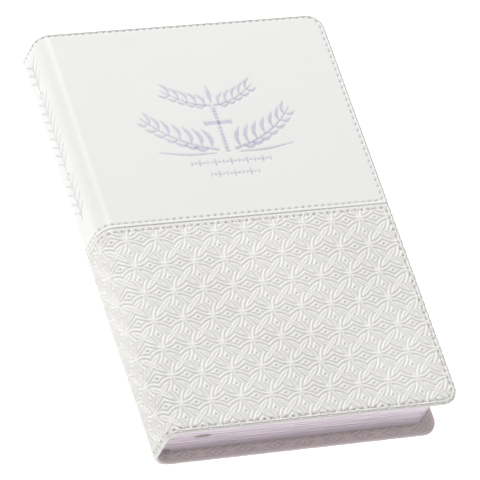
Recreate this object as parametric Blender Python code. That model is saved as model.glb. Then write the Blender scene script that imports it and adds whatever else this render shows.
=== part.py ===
"""A closed flexible-cover bible lying on its back cover.

The book's height runs along Y (head at +Y), its width along X (spine at -X, fore edge at +X) and
its thickness along Z. The origin is under the middle of the book, on the surface it lies on.
Every piece is its own closed solid. Moving pieces hang from an empty on their turning axis.
"""
import math

import bmesh
import bpy

# ---------------------------------------------------------------- driving dimensions (metres)
BOOK_HEIGHT = 0.208
BOOK_WIDTH = 0.142
BOOK_THICKNESS = 0.029
COVER_THICKNESS = 0.002
GAP = 0.0003                    # running and glue gap between neighbouring pieces
SEAM_Y = 0.0002                 # where the smooth and the embossed leather meet
COVER_CORNER_RADIUS = 0.008
EDGE_ROUNDING = 0.0005          # softened rim of the turned-in leather

# The leather leaves the front cover round a shoulder and reaches the back cover round a heel.
SHOULDER_DEPTH = 0.0065         # along X
SHOULDER_DROP = 0.0075          # along Z
HEEL_DEPTH = 0.0105
HEEL_RISE = 0.0095

# Angles along the shoulder and heel, 0 at the cover's flat, 90 degrees at the spine's flat.
FRONT_COVER_STARTS = math.radians(40)
SPINE_STARTS = math.radians(52)
SPINE_ENDS = math.radians(57)
BACK_COVER_STARTS = math.radians(45)
ARC_STEPS = 5

# Turning axes, all along Y: distance from the spine's outer face, then height.
FRONT_COVER_AXIS = (0.0009, 0.0246)
BACK_COVER_AXIS = (0.0012, 0.0056)
LEAF_AXIS_IN = 0.008            # the leaves bend this far in from the spine's outer face
LEAF_AXIS_Z = 0.0268

# Turned-in rim of the covers, and what is laid inside it.
RIM_WIDTH = 0.007
RIM_AT_HINGE = 0.011
SKIN_THICKNESS = 0.0007         # leather left outside the board
BOARD_THICKNESS = 0.0004
LINER_THICKNESS = 0.0003
BOARD_CORNER_RADIUS = 0.004

# Sewing thread in its groove near the cover's edge.
THREAD_INSET = 0.0023
THREAD_WIDTH = 0.0005
THREAD_HEIGHT = 0.00045
GROOVE_WIDTH = 0.0011
GROOVE_DEPTH = 0.0008
THREAD_DEPTH = 0.00005          # the thread's crown under the leather's face

# Page block.
SQUARE = 0.0055                 # how far the covers stand past the pages
PAGE_CORNER_RADIUS = 0.0065
ENDPAPER_THICKNESS = 0.0003
RIBBON_Z = 0.0134
RIBBON_THICKNESS = 0.0003
RIBBON_WIDTH = 0.0065
RIBBON_HEAD_IN = 0.0105         # ribbon's middle at the head, from the spine's outer face
RIBBON_TAIL_IN = 0.0232
RIBBON_TAIL_TUCK = 0.0018       # how far its end stays inside the tail edge
RIBBON_HEAD_PROUD = 0.0012
FRONT_SIGNATURES = 8            # above the ribbon
REAR_SIGNATURES = 7             # below it
TURNING_SIGNATURES = 5          # those that turn with the front cover
FOLD_ROUNDING = 0.0003

# Spine pieces, as distances in from the leather's outer face.
STIFFENER_IN = COVER_THICKNESS + GAP
STIFFENER_THICKNESS = 0.0004
MULL_IN = STIFFENER_IN + STIFFENER_THICKNESS + GAP
MULL_THICKNESS = 0.0003
BLOCK_IN = MULL_IN + MULL_THICKNESS + GAP

SPINE_X = -BOOK_WIDTH / 2
FORE_X = BOOK_WIDTH / 2
HALF_HEIGHT = BOOK_HEIGHT / 2
BLOCK_HALF_HEIGHT = HALF_HEIGHT - SQUARE
BLOCK_FORE_X = FORE_X - SQUARE
BLOCK_TOP_Z = BOOK_THICKNESS - COVER_THICKNESS - GAP
BLOCK_BOTTOM_Z = COVER_THICKNESS + GAP
CUT_MARGIN = 0.004              # how far a cutter stands past what it cuts


# ---------------------------------------------------------------- materials
def make_material(name, colour, roughness, metallic=0.0):
    material = bpy.data.materials.new(name)
    material.use_nodes = True
    shader = material.node_tree.nodes["Principled BSDF"]
    shader.inputs["Base Color"].default_value = (*colour, 1.0)
    shader.inputs["Roughness"].default_value = roughness
    shader.inputs["Metallic"].default_value = metallic
    material.diffuse_color = (*colour, 1.0)
    return material


def make_materials():
    return {
        "smooth_leather": make_material("smooth_leather", (0.84, 0.84, 0.83), 0.45),
        "embossed_leather": make_material("embossed_leather", (0.87, 0.87, 0.84), 0.42),
        "thread": make_material("thread", (0.80, 0.79, 0.76), 0.7),
        "board": make_material("board", (0.55, 0.50, 0.43), 0.9),
        "liner": make_material("liner", (0.83, 0.80, 0.82), 0.7),
        "pages": make_material("pages", (0.79, 0.75, 0.82), 0.5),
        "endpaper": make_material("endpaper", (0.86, 0.84, 0.86), 0.75),
        "mull": make_material("mull", (0.75, 0.72, 0.64), 0.95),
        "ribbon": make_material("ribbon", (0.62, 0.56, 0.66), 0.4),
    }


# ---------------------------------------------------------------- mesh helpers
def clear_scene():
    for item in list(bpy.data.objects):
        bpy.data.objects.remove(item, do_unlink=True)


def finish_object(name, bm, material=None):
    bmesh.ops.recalc_face_normals(bm, faces=bm.faces)
    mesh = bpy.data.meshes.new(name)
    bm.to_mesh(mesh)
    bm.free()
    item = bpy.data.objects.new(name, mesh)
    bpy.context.collection.objects.link(item)
    if material is not None:
        mesh.materials.append(material)
    return item


def solid_from_rings(name, rings, material=None):
    """A closed solid through rings of equal length, with a flat cap at each end."""
    bm = bmesh.new()
    rows = [[bm.verts.new(point) for point in ring] for ring in rings]
    count = len(rows[0])
    for lower, upper in zip(rows, rows[1:]):
        for i in range(count):
            j = (i + 1) % count
            bm.faces.new((lower[i], lower[j], upper[j], upper[i]))
    bm.faces.new(list(reversed(rows[0])))
    bm.faces.new(rows[-1])
    return finish_object(name, bm, material)


def prism_along_y(name, section, y_low, y_high, material=None):
    """Extrudes a closed (x, z) section along Y."""
    rings = [[(x, y, z) for x, z in section] for y in (y_low, y_high)]
    return solid_from_rings(name, rings, material)


def prism_along_z(name, outline, z_low, z_high, material=None):
    """Extrudes a closed (x, y) outline along Z."""
    rings = [[(x, y, z) for x, y in outline] for z in (z_low, z_high)]
    return solid_from_rings(name, rings, material)


def as_cutter(item):
    item.hide_render = True
    item.display_type = "WIRE"
    return item


def add_boolean(item, cutter, operation="DIFFERENCE"):
    modifier = item.modifiers.new(cutter.name, "BOOLEAN")
    modifier.operation = operation
    modifier.solver = "EXACT"
    modifier.object = cutter


def add_rounding(item, width=EDGE_ROUNDING):
    modifier = item.modifiers.new("rim rounding", "BEVEL")
    modifier.width = width
    modifier.segments = 2
    modifier.limit_method = "ANGLE"
    modifier.angle_limit = math.radians(50)


def make_axis(name, from_spine, height):
    """An empty on a turning axis; what turns is parented to it."""
    axis = bpy.data.objects.new(name, None)
    axis.location = (SPINE_X + from_spine, 0.0, height)
    bpy.context.collection.objects.link(axis)
    return axis


def hang_on(item, axis):
    """Parents a piece to its axis and moves the piece's own origin there."""
    for vertex in item.data.vertices:
        vertex.co -= axis.location
    item.parent = axis


# ---------------------------------------------------------------- outlines
def rounded_corner(cx, cy, radius, start_deg, end_deg, steps=ARC_STEPS):
    points = []
    for i in range(steps + 1):
        angle = math.radians(start_deg + (end_deg - start_deg) * i / steps)
        points.append((cx + radius * math.cos(angle), cy + radius * math.sin(angle)))
    return points


def fore_edge_outline(x_left, x_right, y_low, y_high, radius_low, radius_high):
    """A rectangle whose two fore-edge corners are rounded; a radius of 0 leaves one square."""
    outline = [(x_left, y_high), (x_left, y_low)]
    if radius_low:
        outline += rounded_corner(x_right - radius_low, y_low + radius_low, radius_low, 270, 360)
    else:
        outline.append((x_right, y_low))
    if radius_high:
        outline += rounded_corner(x_right - radius_high, y_high - radius_high, radius_high, 0, 90)
    else:
        outline.append((x_right, y_high))
    return outline


def shoulder_point(angle, inside=0.0):
    """A point on the front shoulder, moved in by a distance along the leather's normal."""
    x = SHOULDER_DEPTH * (1 - math.sin(angle))
    z = BOOK_THICKNESS - SHOULDER_DROP * (1 - math.cos(angle))
    nx = -math.sin(angle) * SHOULDER_DROP
    nz = math.cos(angle) * SHOULDER_DEPTH
    size = math.hypot(nx, nz)
    return SPINE_X + x - inside * nx / size, z - inside * nz / size


def heel_point(angle, inside=0.0):
    x = HEEL_DEPTH * (1 - math.sin(angle))
    z = HEEL_RISE * (1 - math.cos(angle))
    nx = -math.sin(angle) * HEEL_RISE
    nz = -math.cos(angle) * HEEL_DEPTH
    size = math.hypot(nx, nz)
    return SPINE_X + x - inside * nx / size, z - inside * nz / size


def arc(point_at, start, end, inside, steps=ARC_STEPS):
    return [point_at(start + (end - start) * i / steps, inside) for i in range(steps + 1)]


def spine_band(inside, thickness, start=SPINE_STARTS, end=SPINE_ENDS):
    """Closed section of a layer that follows the spine from the shoulder down to the heel."""
    quarter = math.pi / 2
    outer = arc(shoulder_point, start, quarter, inside) + arc(heel_point, quarter, end, inside)
    inner_in = inside + thickness
    inner = arc(shoulder_point, start, quarter, inner_in) + arc(heel_point, quarter, end, inner_in)
    return outer + list(reversed(inner))


def x_inside_spine(z, inside):
    """X of the curve that runs a distance inside the spine's outer face, at a height."""
    if z > BOOK_THICKNESS - SHOULDER_DROP:
        point_at, rising = shoulder_point, True
    elif z < HEEL_RISE:
        point_at, rising = heel_point, False
    else:
        return SPINE_X + inside
    low, high = 0.0, math.pi / 2
    for _ in range(40):
        middle = (low + high) / 2
        above = point_at(middle, inside)[1] > z
        if above == rising:
            low = middle
        else:
            high = middle
    return point_at(high, inside)[0]


# ---------------------------------------------------------------- covers
def cover_section(front):
    """(x, z) section of one cover, from its cut edge round the shoulder or heel to the fore edge."""
    if front:
        point_at, start = shoulder_point, FRONT_COVER_STARTS
        outer_z, inner_z = BOOK_THICKNESS, BOOK_THICKNESS - COVER_THICKNESS
    else:
        point_at, start = heel_point, BACK_COVER_STARTS
        outer_z, inner_z = 0.0, COVER_THICKNESS
    outer = arc(point_at, start, 0.0, 0.0) + [(FORE_X, outer_z)]
    inner = arc(point_at, start, 0.0, COVER_THICKNESS) + [(FORE_X, inner_z)]
    return outer + list(reversed(inner))


def thread_path(smooth):
    """Points of the sewing line on one panel: along the head or tail, and down the fore edge."""
    radius = COVER_CORNER_RADIUS - THREAD_INSET
    x_start = SPINE_X + HEEL_DEPTH + CUT_MARGIN
    x_line = FORE_X - THREAD_INSET
    y_line = HALF_HEIGHT - THREAD_INSET
    corner = rounded_corner(x_line - radius, y_line - radius, radius, 90, 0)
    path = [(x_start, y_line)] + corner + [(x_line, abs(SEAM_Y) + THREAD_INSET)]
    if smooth:
        return path
    return [(x, -y) for x, y in path]


def band_along(path, width):
    """Closed outline of a flat band of a given width that follows a path in the XY plane."""
    left, right = [], []
    last = len(path) - 1
    for i, (x, y) in enumerate(path):
        before, after = path[max(i - 1, 0)], path[min(i + 1, last)]
        dx, dy = after[0] - before[0], after[1] - before[1]
        size = math.hypot(dx, dy)
        left.append((x - dy / size * width / 2, y + dx / size * width / 2))
        right.append((x + dy / size * width / 2, y - dx / size * width / 2))
    return left + list(reversed(right))


def lengthened(path, extra):
    """The same path, run on a little at both ends."""
    (x0, y0), (x1, y1) = path[0], path[1]
    first = math.hypot(x1 - x0, y1 - y0)
    (x2, y2), (x3, y3) = path[-2], path[-1]
    last = math.hypot(x3 - x2, y3 - y2)
    start = (x0 - (x1 - x0) / first * extra, y0 - (y1 - y0) / first * extra)
    end = (x3 + (x3 - x2) / last * extra, y3 + (y3 - y2) / last * extra)
    return [start] + path[1:-1] + [end]


def build_cover(side, materials):
    """Two leather panels, the board, the liner and the sewing threads of one cover."""
    front = side == "front"
    outward = 1.0 if front else -1.0
    face_z = BOOK_THICKNESS if front else 0.0
    inner_z = face_z - outward * COVER_THICKNESS
    pieces = []

    plan = fore_edge_outline(SPINE_X - CUT_MARGIN, FORE_X, -HALF_HEIGHT, HALF_HEIGHT,
                             COVER_CORNER_RADIUS, COVER_CORNER_RADIUS)
    plan_cutter = as_cutter(prism_along_z(f"{side}_plan_cutter", plan, -CUT_MARGIN,
                                          BOOK_THICKNESS + CUT_MARGIN))

    tray = fore_edge_outline(SPINE_X + RIM_AT_HINGE, FORE_X - RIM_WIDTH, -HALF_HEIGHT + RIM_WIDTH,
                             HALF_HEIGHT - RIM_WIDTH, BOARD_CORNER_RADIUS, BOARD_CORNER_RADIUS)
    tray_floor = face_z - outward * SKIN_THICKNESS
    tray_mouth = inner_z - outward * CUT_MARGIN
    tray_cutter = as_cutter(prism_along_z(f"{side}_tray_cutter", tray, min(tray_floor, tray_mouth),
                                          max(tray_floor, tray_mouth)))

    spans = {
        "smooth": (SEAM_Y + GAP / 2, HALF_HEIGHT),
        "embossed": (-HALF_HEIGHT, SEAM_Y - GAP / 2),
    }
    for finish, (y_low, y_high) in spans.items():
        panel = prism_along_y(f"{side}_{finish}_panel", cover_section(front), y_low, y_high,
                              materials[f"{finish}_leather"])
        add_boolean(panel, plan_cutter, "INTERSECT")
        add_rounding(panel)
        add_boolean(panel, tray_cutter)

        path = thread_path(finish == "smooth")
        groove_floor = face_z - outward * GROOVE_DEPTH
        groove_mouth = face_z + outward * CUT_MARGIN
        groove = as_cutter(prism_along_z(f"{side}_{finish}_groove_cutter",
                                         band_along(lengthened(path, GAP), GROOVE_WIDTH),
                                         min(groove_floor, groove_mouth),
                                         max(groove_floor, groove_mouth)))
        add_boolean(panel, groove)

        crown = face_z - outward * THREAD_DEPTH
        root = crown - outward * THREAD_HEIGHT
        thread = prism_along_z(f"{side}_{finish}_thread", band_along(path, THREAD_WIDTH),
                               min(crown, root), max(crown, root), materials["thread"])
        pieces += [panel, thread]

    inlay = fore_edge_outline(SPINE_X + RIM_AT_HINGE + GAP, FORE_X - RIM_WIDTH - GAP,
                              -HALF_HEIGHT + RIM_WIDTH + GAP, HALF_HEIGHT - RIM_WIDTH - GAP,
                              BOARD_CORNER_RADIUS - GAP, BOARD_CORNER_RADIUS - GAP)
    board_outer = tray_floor - outward * GAP
    board_inner = board_outer - outward * BOARD_THICKNESS
    liner_outer = inner_z + outward * LINER_THICKNESS
    pieces.append(prism_along_z(f"{side}_board", inlay, min(board_outer, board_inner),
                                max(board_outer, board_inner), materials["board"]))
    pieces.append(prism_along_z(f"{side}_liner", inlay, min(liner_outer, inner_z),
                                max(liner_outer, inner_z), materials["liner"]))
    return pieces


def build_covers(materials):
    for side, place in (("front", FRONT_COVER_AXIS), ("back", BACK_COVER_AXIS)):
        axis = make_axis(f"{side}_cover_axis", *place)
        for piece in build_cover(side, materials):
            hang_on(piece, axis)


# ---------------------------------------------------------------- spine
def build_spine(materials):
    leather = spine_band(0.0, COVER_THICKNESS)
    smooth = prism_along_y("spine_smooth_panel", leather, SEAM_Y + GAP / 2, HALF_HEIGHT,
                           materials["smooth_leather"])
    embossed = prism_along_y("spine_embossed_panel", leather, -HALF_HEIGHT, SEAM_Y - GAP / 2,
                             materials["embossed_leather"])
    for panel in (smooth, embossed):
        add_rounding(panel)

    flat_low, flat_high = HEEL_RISE, BOOK_THICKNESS - SHOULDER_DROP
    left, right = SPINE_X + STIFFENER_IN, SPINE_X + STIFFENER_IN + STIFFENER_THICKNESS
    strip = [(left, flat_low), (right, flat_low), (right, flat_high), (left, flat_high)]
    prism_along_y("spine_stiffener", strip, -BLOCK_HALF_HEIGHT, BLOCK_HALF_HEIGHT,
                  materials["board"])

    mull = spine_band(MULL_IN, MULL_THICKNESS, math.radians(62), math.radians(62))
    mull_half = BLOCK_HALF_HEIGHT - SQUARE
    prism_along_y("spine_mull", mull, -mull_half, mull_half, materials["mull"])


# ---------------------------------------------------------------- pages
def page_outline(x_left):
    return fore_edge_outline(x_left, BLOCK_FORE_X, -BLOCK_HALF_HEIGHT, BLOCK_HALF_HEIGHT,
                             PAGE_CORNER_RADIUS, PAGE_CORNER_RADIUS)


def folded_signature(name, z_low, z_high, material):
    """A whole sewn signature: its fold at the spine is rounded, and its leaves reach the fore edge."""
    x_fold = max(x_inside_spine(z_low, BLOCK_IN), x_inside_spine(z_high, BLOCK_IN))
    levels = [
        (z_low, x_fold + FOLD_ROUNDING),
        (z_low + FOLD_ROUNDING, x_fold),
        (z_high - FOLD_ROUNDING, x_fold),
        (z_high, x_fold + FOLD_ROUNDING),
    ]
    rings = [[(x, y, z) for x, y in page_outline(left)] for z, left in levels]
    return solid_from_rings(name, rings, material)


def signature_levels():
    """(number, z_low, z_high) of every signature, counted from the front cover."""
    first_top = BLOCK_TOP_Z - ENDPAPER_THICKNESS - GAP
    front_bottom = RIBBON_Z + RIBBON_THICKNESS / 2 + GAP
    rear_top = RIBBON_Z - RIBBON_THICKNESS / 2 - GAP
    last_bottom = BLOCK_BOTTOM_Z + ENDPAPER_THICKNESS + GAP
    levels = []
    for count, top, bottom in ((FRONT_SIGNATURES, first_top, front_bottom),
                               (REAR_SIGNATURES, rear_top, last_bottom)):
        thickness = (top - bottom - (count - 1) * GAP) / count
        for i in range(count):
            z_high = top - i * (thickness + GAP)
            levels.append((len(levels) + 1, z_high - thickness, z_high))
    return levels


def build_signatures(materials):
    leaf_left = SPINE_X + LEAF_AXIS_IN + GAP
    fold_low = None
    for number, z_low, z_high in signature_levels():
        name = f"signature_{number:02d}"
        if number > TURNING_SIGNATURES:
            folded_signature(name, z_low, z_high, materials["pages"])
            continue
        fold_low = z_low
        leaves = prism_along_z(name, page_outline(leaf_left), z_low, z_high, materials["pages"])
        hang_on(leaves, make_axis(f"{name}_axis", LEAF_AXIS_IN, LEAF_AXIS_Z))
    build_front_folds(fold_low, materials)


def build_front_folds(fold_low, materials):
    """The sewn and glued back of the turning signatures, which stays with the block."""
    fold_high = BLOCK_TOP_Z - ENDPAPER_THICKNESS - GAP
    steps = 4
    heights = [fold_low + (fold_high - fold_low) * i / steps for i in range(steps + 1)]
    section = [(x_inside_spine(z, BLOCK_IN), z) for z in heights]
    right = SPINE_X + LEAF_AXIS_IN - GAP
    section += [(right, fold_high), (right, fold_low)]
    prism_along_y("front_sewn_folds", section, -BLOCK_HALF_HEIGHT, BLOCK_HALF_HEIGHT,
                  materials["pages"])


def build_endpapers(materials):
    left = SPINE_X + RIM_AT_HINGE
    front = prism_along_z("front_endpaper", page_outline(left), BLOCK_TOP_Z - ENDPAPER_THICKNESS,
                          BLOCK_TOP_Z, materials["endpaper"])
    hang_on(front, make_axis("front_endpaper_axis", *FRONT_COVER_AXIS))
    rear = prism_along_z("rear_endpaper", page_outline(left), BLOCK_BOTTOM_Z,
                         BLOCK_BOTTOM_Z + ENDPAPER_THICKNESS, materials["endpaper"])
    hang_on(rear, make_axis("rear_endpaper_axis", *BACK_COVER_AXIS))


def build_ribbon(materials):
    """The marker crosses the block on a slant, from the spine at the head to its end at the tail."""
    head = (SPINE_X + RIBBON_HEAD_IN, BLOCK_HALF_HEIGHT + RIBBON_HEAD_PROUD)
    tail = (SPINE_X + RIBBON_TAIL_IN, -BLOCK_HALF_HEIGHT + RIBBON_TAIL_TUCK)
    outline = band_along([head, tail], RIBBON_WIDTH)
    prism_along_z("ribbon_marker", outline, RIBBON_Z - RIBBON_THICKNESS / 2,
                  RIBBON_Z + RIBBON_THICKNESS / 2, materials["ribbon"])


def main():
    clear_scene()
    materials = make_materials()
    build_covers(materials)
    build_spine(materials)
    build_signatures(materials)
    build_endpapers(materials)
    build_ribbon(materials)


main()
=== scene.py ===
"""A bible in a flexible two-finish leather cover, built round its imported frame."""

import math

import bpy
import numpy as np
from mathutils import Matrix, Vector


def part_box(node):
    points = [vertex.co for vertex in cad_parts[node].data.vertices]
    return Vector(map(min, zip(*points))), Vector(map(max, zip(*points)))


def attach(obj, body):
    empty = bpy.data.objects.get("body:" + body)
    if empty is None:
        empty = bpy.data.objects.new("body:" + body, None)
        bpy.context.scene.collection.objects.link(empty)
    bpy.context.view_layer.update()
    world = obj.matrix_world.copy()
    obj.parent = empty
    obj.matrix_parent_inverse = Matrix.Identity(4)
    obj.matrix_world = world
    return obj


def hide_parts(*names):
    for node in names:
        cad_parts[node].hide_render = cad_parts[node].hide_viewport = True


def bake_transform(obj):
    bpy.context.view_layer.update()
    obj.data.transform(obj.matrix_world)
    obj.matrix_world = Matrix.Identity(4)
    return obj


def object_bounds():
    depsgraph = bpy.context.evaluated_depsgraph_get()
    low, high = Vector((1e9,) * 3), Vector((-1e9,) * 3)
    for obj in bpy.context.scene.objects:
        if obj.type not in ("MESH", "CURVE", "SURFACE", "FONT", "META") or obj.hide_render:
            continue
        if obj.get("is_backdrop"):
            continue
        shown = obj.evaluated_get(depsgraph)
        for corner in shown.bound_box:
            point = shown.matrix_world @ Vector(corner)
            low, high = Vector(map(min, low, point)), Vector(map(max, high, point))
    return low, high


bl_info = {
    "name": "Flexible cover bible",
    "version": (1, 0, 0),
    "blender": (4, 5, 0),
    "location": "3D View > Sidebar > Bible",
    "description": "Builds a bible with sewn leather covers, gilded leaves and a ribbon",
    "category": "Object",
}

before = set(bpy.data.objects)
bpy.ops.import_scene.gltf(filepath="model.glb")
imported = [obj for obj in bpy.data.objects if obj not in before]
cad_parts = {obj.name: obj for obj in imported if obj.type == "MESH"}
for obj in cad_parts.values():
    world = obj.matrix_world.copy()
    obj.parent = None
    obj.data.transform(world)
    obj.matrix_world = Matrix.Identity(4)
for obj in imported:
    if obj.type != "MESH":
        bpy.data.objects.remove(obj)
CAD_LOW, CAD_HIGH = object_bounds()

# The book, from the frame.
SPINE_X = CAD_LOW.x
BOOK_WIDTH = CAD_HIGH.x - CAD_LOW.x
HALF_HEIGHT = (CAD_HIGH.y - CAD_LOW.y) / 2
BOOK_THICKNESS = CAD_HIGH.z - CAD_LOW.z
SEAM_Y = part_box("front_smooth_panel")[0].y

# The rounded edges of the spine, on the front side and on the back side.
SHOULDER_DEPTH = 0.0065
SHOULDER_DROP = 0.0075
HEEL_DEPTH = 0.0105
HEEL_RISE = 0.0095
SPINE_MIDDLE_Z = (BOOK_THICKNESS - SHOULDER_DROP + HEEL_RISE) / 2

# Leather edges.
COVER_THICKNESS = 0.002
EDGE_RADIUS = COVER_THICKNESS / 2
CORNER_RADIUS = 0.008
LIP_RADIUS = 0.0003
LIP_RAISE = 0.00018
LIP_SLOPE = 0.0042
TUCK_DROP = 0.00013
TUCK_LENGTH = 0.0015
TUCK_SLOPE = 0.0012
SEAM_CORNER_RADIUS = 0.0012
SKIN_DEPTH = 0.0007
TURN_IN = 0.0065
SEAM_TURN_IN = 0.0025
ROLL_STEPS = 7
# Depth of a pressed mark that takes the full painted groove shade.
CREASE_FOR_FULL_SHADE = 0.0004
STROKE_STEP = 0.0005

# Where the painted shade and painted mauve light on the embossed leather begin and become full, as
# shares of the way round its rolled edge.
TURN_IN_SHADE_START = 0.3
TURN_IN_SHADE_FULL = 0.8

# Embossed circles.
CIRCLE_PITCH_ALONG = 0.01436
CIRCLE_PITCH_ACROSS = 0.01395
CIRCLE_START_ALONG = 0.0246
CIRCLE_START_Y = -0.00635

# The ornament's shapes, each from its root and for its right half.
BRANCH = ((0.0042, 0.0010), (0.0160, 0.0050), (0.0280, 0.0120), (0.0368, 0.0205))
UP_LEAF = ((0.0, 0.0), (-0.0006, 0.0052), (0.0022, 0.0104))
LOW_LEAF = ((0.0016, 0.0004), (0.0050, -0.0004), (0.0086, 0.0016))
GROUND_LINE = ((0.0060, -0.0006), (0.0190, -0.0004), (0.0330, 0.0018))
SPRAY_STEM = ((0.0008, 0.0), (0.0110, 0.0026), (0.0225, 0.0094))
SPRAY_UP_LEAF = ((0.0, 0.0), (0.0004, 0.0034), (0.0030, 0.0058))
SPRAY_LOW_LEAF = ((0.0, 0.0), (0.0026, -0.0010), (0.0050, 0.0002))
BUD = ((0.0, 0.0015), (0.0, 0.0105))
LOZENGE = ((0.0, -0.5), (0.0, 0.0), (0.0, 0.5))
DASH = ((-0.0007, 0.0), (0.0007, 0.0))
SPRIG_LEAF = ((0.0, 0.0), (0.0026, 0.0026), (0.0056, 0.0044))
SPRIG_LOZENGE = ((0.0, -0.0018), (0.0018, 0.0), (0.0, 0.0018))
FINE_TIP = 0.0002

# Rows of sewing.
HEAD_INSET = 0.0016
FORE_INSET = 0.0024
TAIL_INSET = 0.0024
SEAM_INSET = 0.0020
ROW_CORNER_RADIUS = 0.0060
SEAM_ROW_CORNER_RADIUS = 0.0016

RANDOM_SEED = 11
ABOVE_RIBBON = 8
BELOW_RIBBON = 9


# ---------------------------------------------------------------- settings


class BibleCoverSettings(bpy.types.PropertyGroup):
    """Sizes and colours of the leather, the sewing and the ornament."""

    emboss_height: bpy.props.FloatProperty(
        name="Emboss height",
        description="Height of the embossed lines from groove to ridge",
        default=0.00042,
        subtype="DISTANCE",
        unit="LENGTH",
    )
    emboss_pitch: bpy.props.FloatProperty(
        name="Line pitch",
        description="Distance between neighbouring embossed lines",
        default=0.0018,
        subtype="DISTANCE",
        unit="LENGTH",
    )
    emboss_step: bpy.props.FloatProperty(
        name="Front mesh step",
        description="Mesh spacing of the embossed leather on the front",
        default=0.00031,
        subtype="DISTANCE",
        unit="LENGTH",
    )
    back_step: bpy.props.FloatProperty(
        name="Back mesh step",
        description="Mesh spacing of the embossed leather on the back",
        default=0.00048,
        subtype="DISTANCE",
        unit="LENGTH",
    )
    stitch_pitch: bpy.props.FloatProperty(
        name="Stitch length",
        description="Distance from one needle hole to the next",
        default=0.00335,
        subtype="DISTANCE",
        unit="LENGTH",
    )
    thread_diameter: bpy.props.FloatProperty(
        name="Thread diameter",
        description="Thickness of the sewing thread",
        default=0.00034,
        subtype="DISTANCE",
        unit="LENGTH",
    )
    smooth_colour: bpy.props.FloatVectorProperty(
        name="Smooth leather",
        description="Colour of the smooth leather",
        default=(0.86, 0.865, 0.855),
        size=3,
        subtype="COLOR",
    )
    embossed_colour: bpy.props.FloatVectorProperty(
        name="Embossed leather",
        description="Colour of the embossed leather",
        default=(0.86, 0.86, 0.835),
        size=3,
        subtype="COLOR",
    )
    # Painted shade in the needle holes.
    hole_shade_colour: bpy.props.FloatVectorProperty(
        name="Needle hole",
        description="Colour in the needle holes and deep creases",
        default=(0.34, 0.32, 0.30),
        size=3,
        subtype="COLOR",
    )
    # Painted shade, with painted mauve light from the gilded edges, on the turned-in embossed
    # leather.
    turn_in_shade_tint: bpy.props.FloatVectorProperty(
        name="Turned-in tint",
        description="How much duller the embossed leather is where it is turned in",
        default=(0.93, 0.83, 0.86),
        size=3,
        subtype="COLOR",
    )
    thread_colour: bpy.props.FloatVectorProperty(
        name="Thread",
        description="Colour of the sewing thread",
        default=(0.86, 0.85, 0.83),
        size=3,
        subtype="COLOR",
    )
    foil_colour: bpy.props.FloatVectorProperty(
        name="Foil",
        description="Colour of the pressed foil",
        default=(0.64, 0.62, 0.72),
        size=3,
        subtype="COLOR",
    )


class BiblePagesSettings(bpy.types.PropertyGroup):
    """Sizes and colours of the leaves, the endpapers and the ribbon."""

    sheets: bpy.props.IntProperty(
        name="Sheets in a signature",
        description="Bundles of leaves that show as separate layers in each signature",
        default=6,
        min=2,
        max=12,
    )
    unevenness: bpy.props.FloatProperty(
        name="Edge unevenness",
        description="How far the edges of the leaves stand in and out",
        default=0.00012,
        subtype="DISTANCE",
        unit="LENGTH",
    )
    paper_colour: bpy.props.FloatVectorProperty(
        name="Paper",
        description="Colour of the leaves",
        default=(0.86, 0.84, 0.78),
        size=3,
        subtype="COLOR",
    )
    gilt_colour: bpy.props.FloatVectorProperty(
        name="Gilded edge",
        description="Colour of the silvered page edges",
        default=(0.85, 0.79, 0.855),
        size=3,
        subtype="COLOR",
    )
    endpaper_colour: bpy.props.FloatVectorProperty(
        name="Endpaper",
        description="Colour of the endpapers and liners",
        default=(0.80, 0.79, 0.76),
        size=3,
        subtype="COLOR",
    )
    ribbon_colour: bpy.props.FloatVectorProperty(
        name="Ribbon",
        description="Colour of the satin ribbon",
        default=(0.50, 0.45, 0.50),
        size=3,
        subtype="COLOR",
    )


class BibleStageSettings(bpy.types.PropertyGroup):
    """The floor and the studio light."""

    key_power: bpy.props.FloatProperty(
        name="Main light",
        description="Power of the main soft light",
        default=45.0,
        min=0.0,
    )
    fill_power: bpy.props.FloatProperty(
        name="Side light",
        description="Power of the weak light from the other side",
        default=0.8,
        min=0.0,
    )
    sky_strength: bpy.props.FloatProperty(
        name="Room light",
        description="Strength of the even light all round",
        default=0.44,
        min=0.0,
    )
    floor_colour: bpy.props.FloatVectorProperty(
        name="Floor",
        description="Colour of the floor",
        default=(0.9, 0.9, 0.9),
        size=3,
        subtype="COLOR",
    )


# ---------------------------------------------------------------- shape helpers


class CoverProfile:
    """The outer face of a cover and half the spine, unrolled from the middle of the spine."""

    def __init__(self, depth, drop, turned_over):
        self.depth = depth
        self.drop = drop
        self.turned_over = turned_over
        steps = 400
        self.angles = np.linspace(0, math.pi / 2, steps)
        across = depth * (1 - np.sin(self.angles))
        down = drop * (1 - np.cos(self.angles))
        lengths = np.hypot(np.diff(across), np.diff(down))
        self.arcs = np.concatenate([[0.0], np.cumsum(lengths)])
        self.spine_start = depth - self.arcs[-1]
        top = BOOK_THICKNESS
        middle = top - SPINE_MIDDLE_Z if turned_over else SPINE_MIDDLE_Z
        self.middle = self.spine_start - (top - drop - middle)

    def place(self, along, y, height):
        """Points in the book for distances along the face, places along the spine and heights."""
        along = np.asarray(along, float)
        angle = np.interp(self.depth - along, self.arcs, self.angles)
        x = self.depth * (1 - np.sin(angle))
        z = BOOK_THICKNESS - self.drop * (1 - np.cos(angle))
        normal_x = -np.sin(angle) / self.depth
        normal_z = np.cos(angle) / self.drop
        length = np.hypot(normal_x, normal_z)
        normal_x = normal_x / length
        normal_z = normal_z / length
        x = np.where(along > self.depth, along, x)
        z = np.where(along < self.spine_start, z - (self.spine_start - along), z)
        x = x + normal_x * height
        z = z + normal_z * height
        if self.turned_over:
            z = BOOK_THICKNESS - z
        y = np.broadcast_to(y, x.shape)
        return np.stack([SPINE_X + x, y, z], -1)


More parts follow.
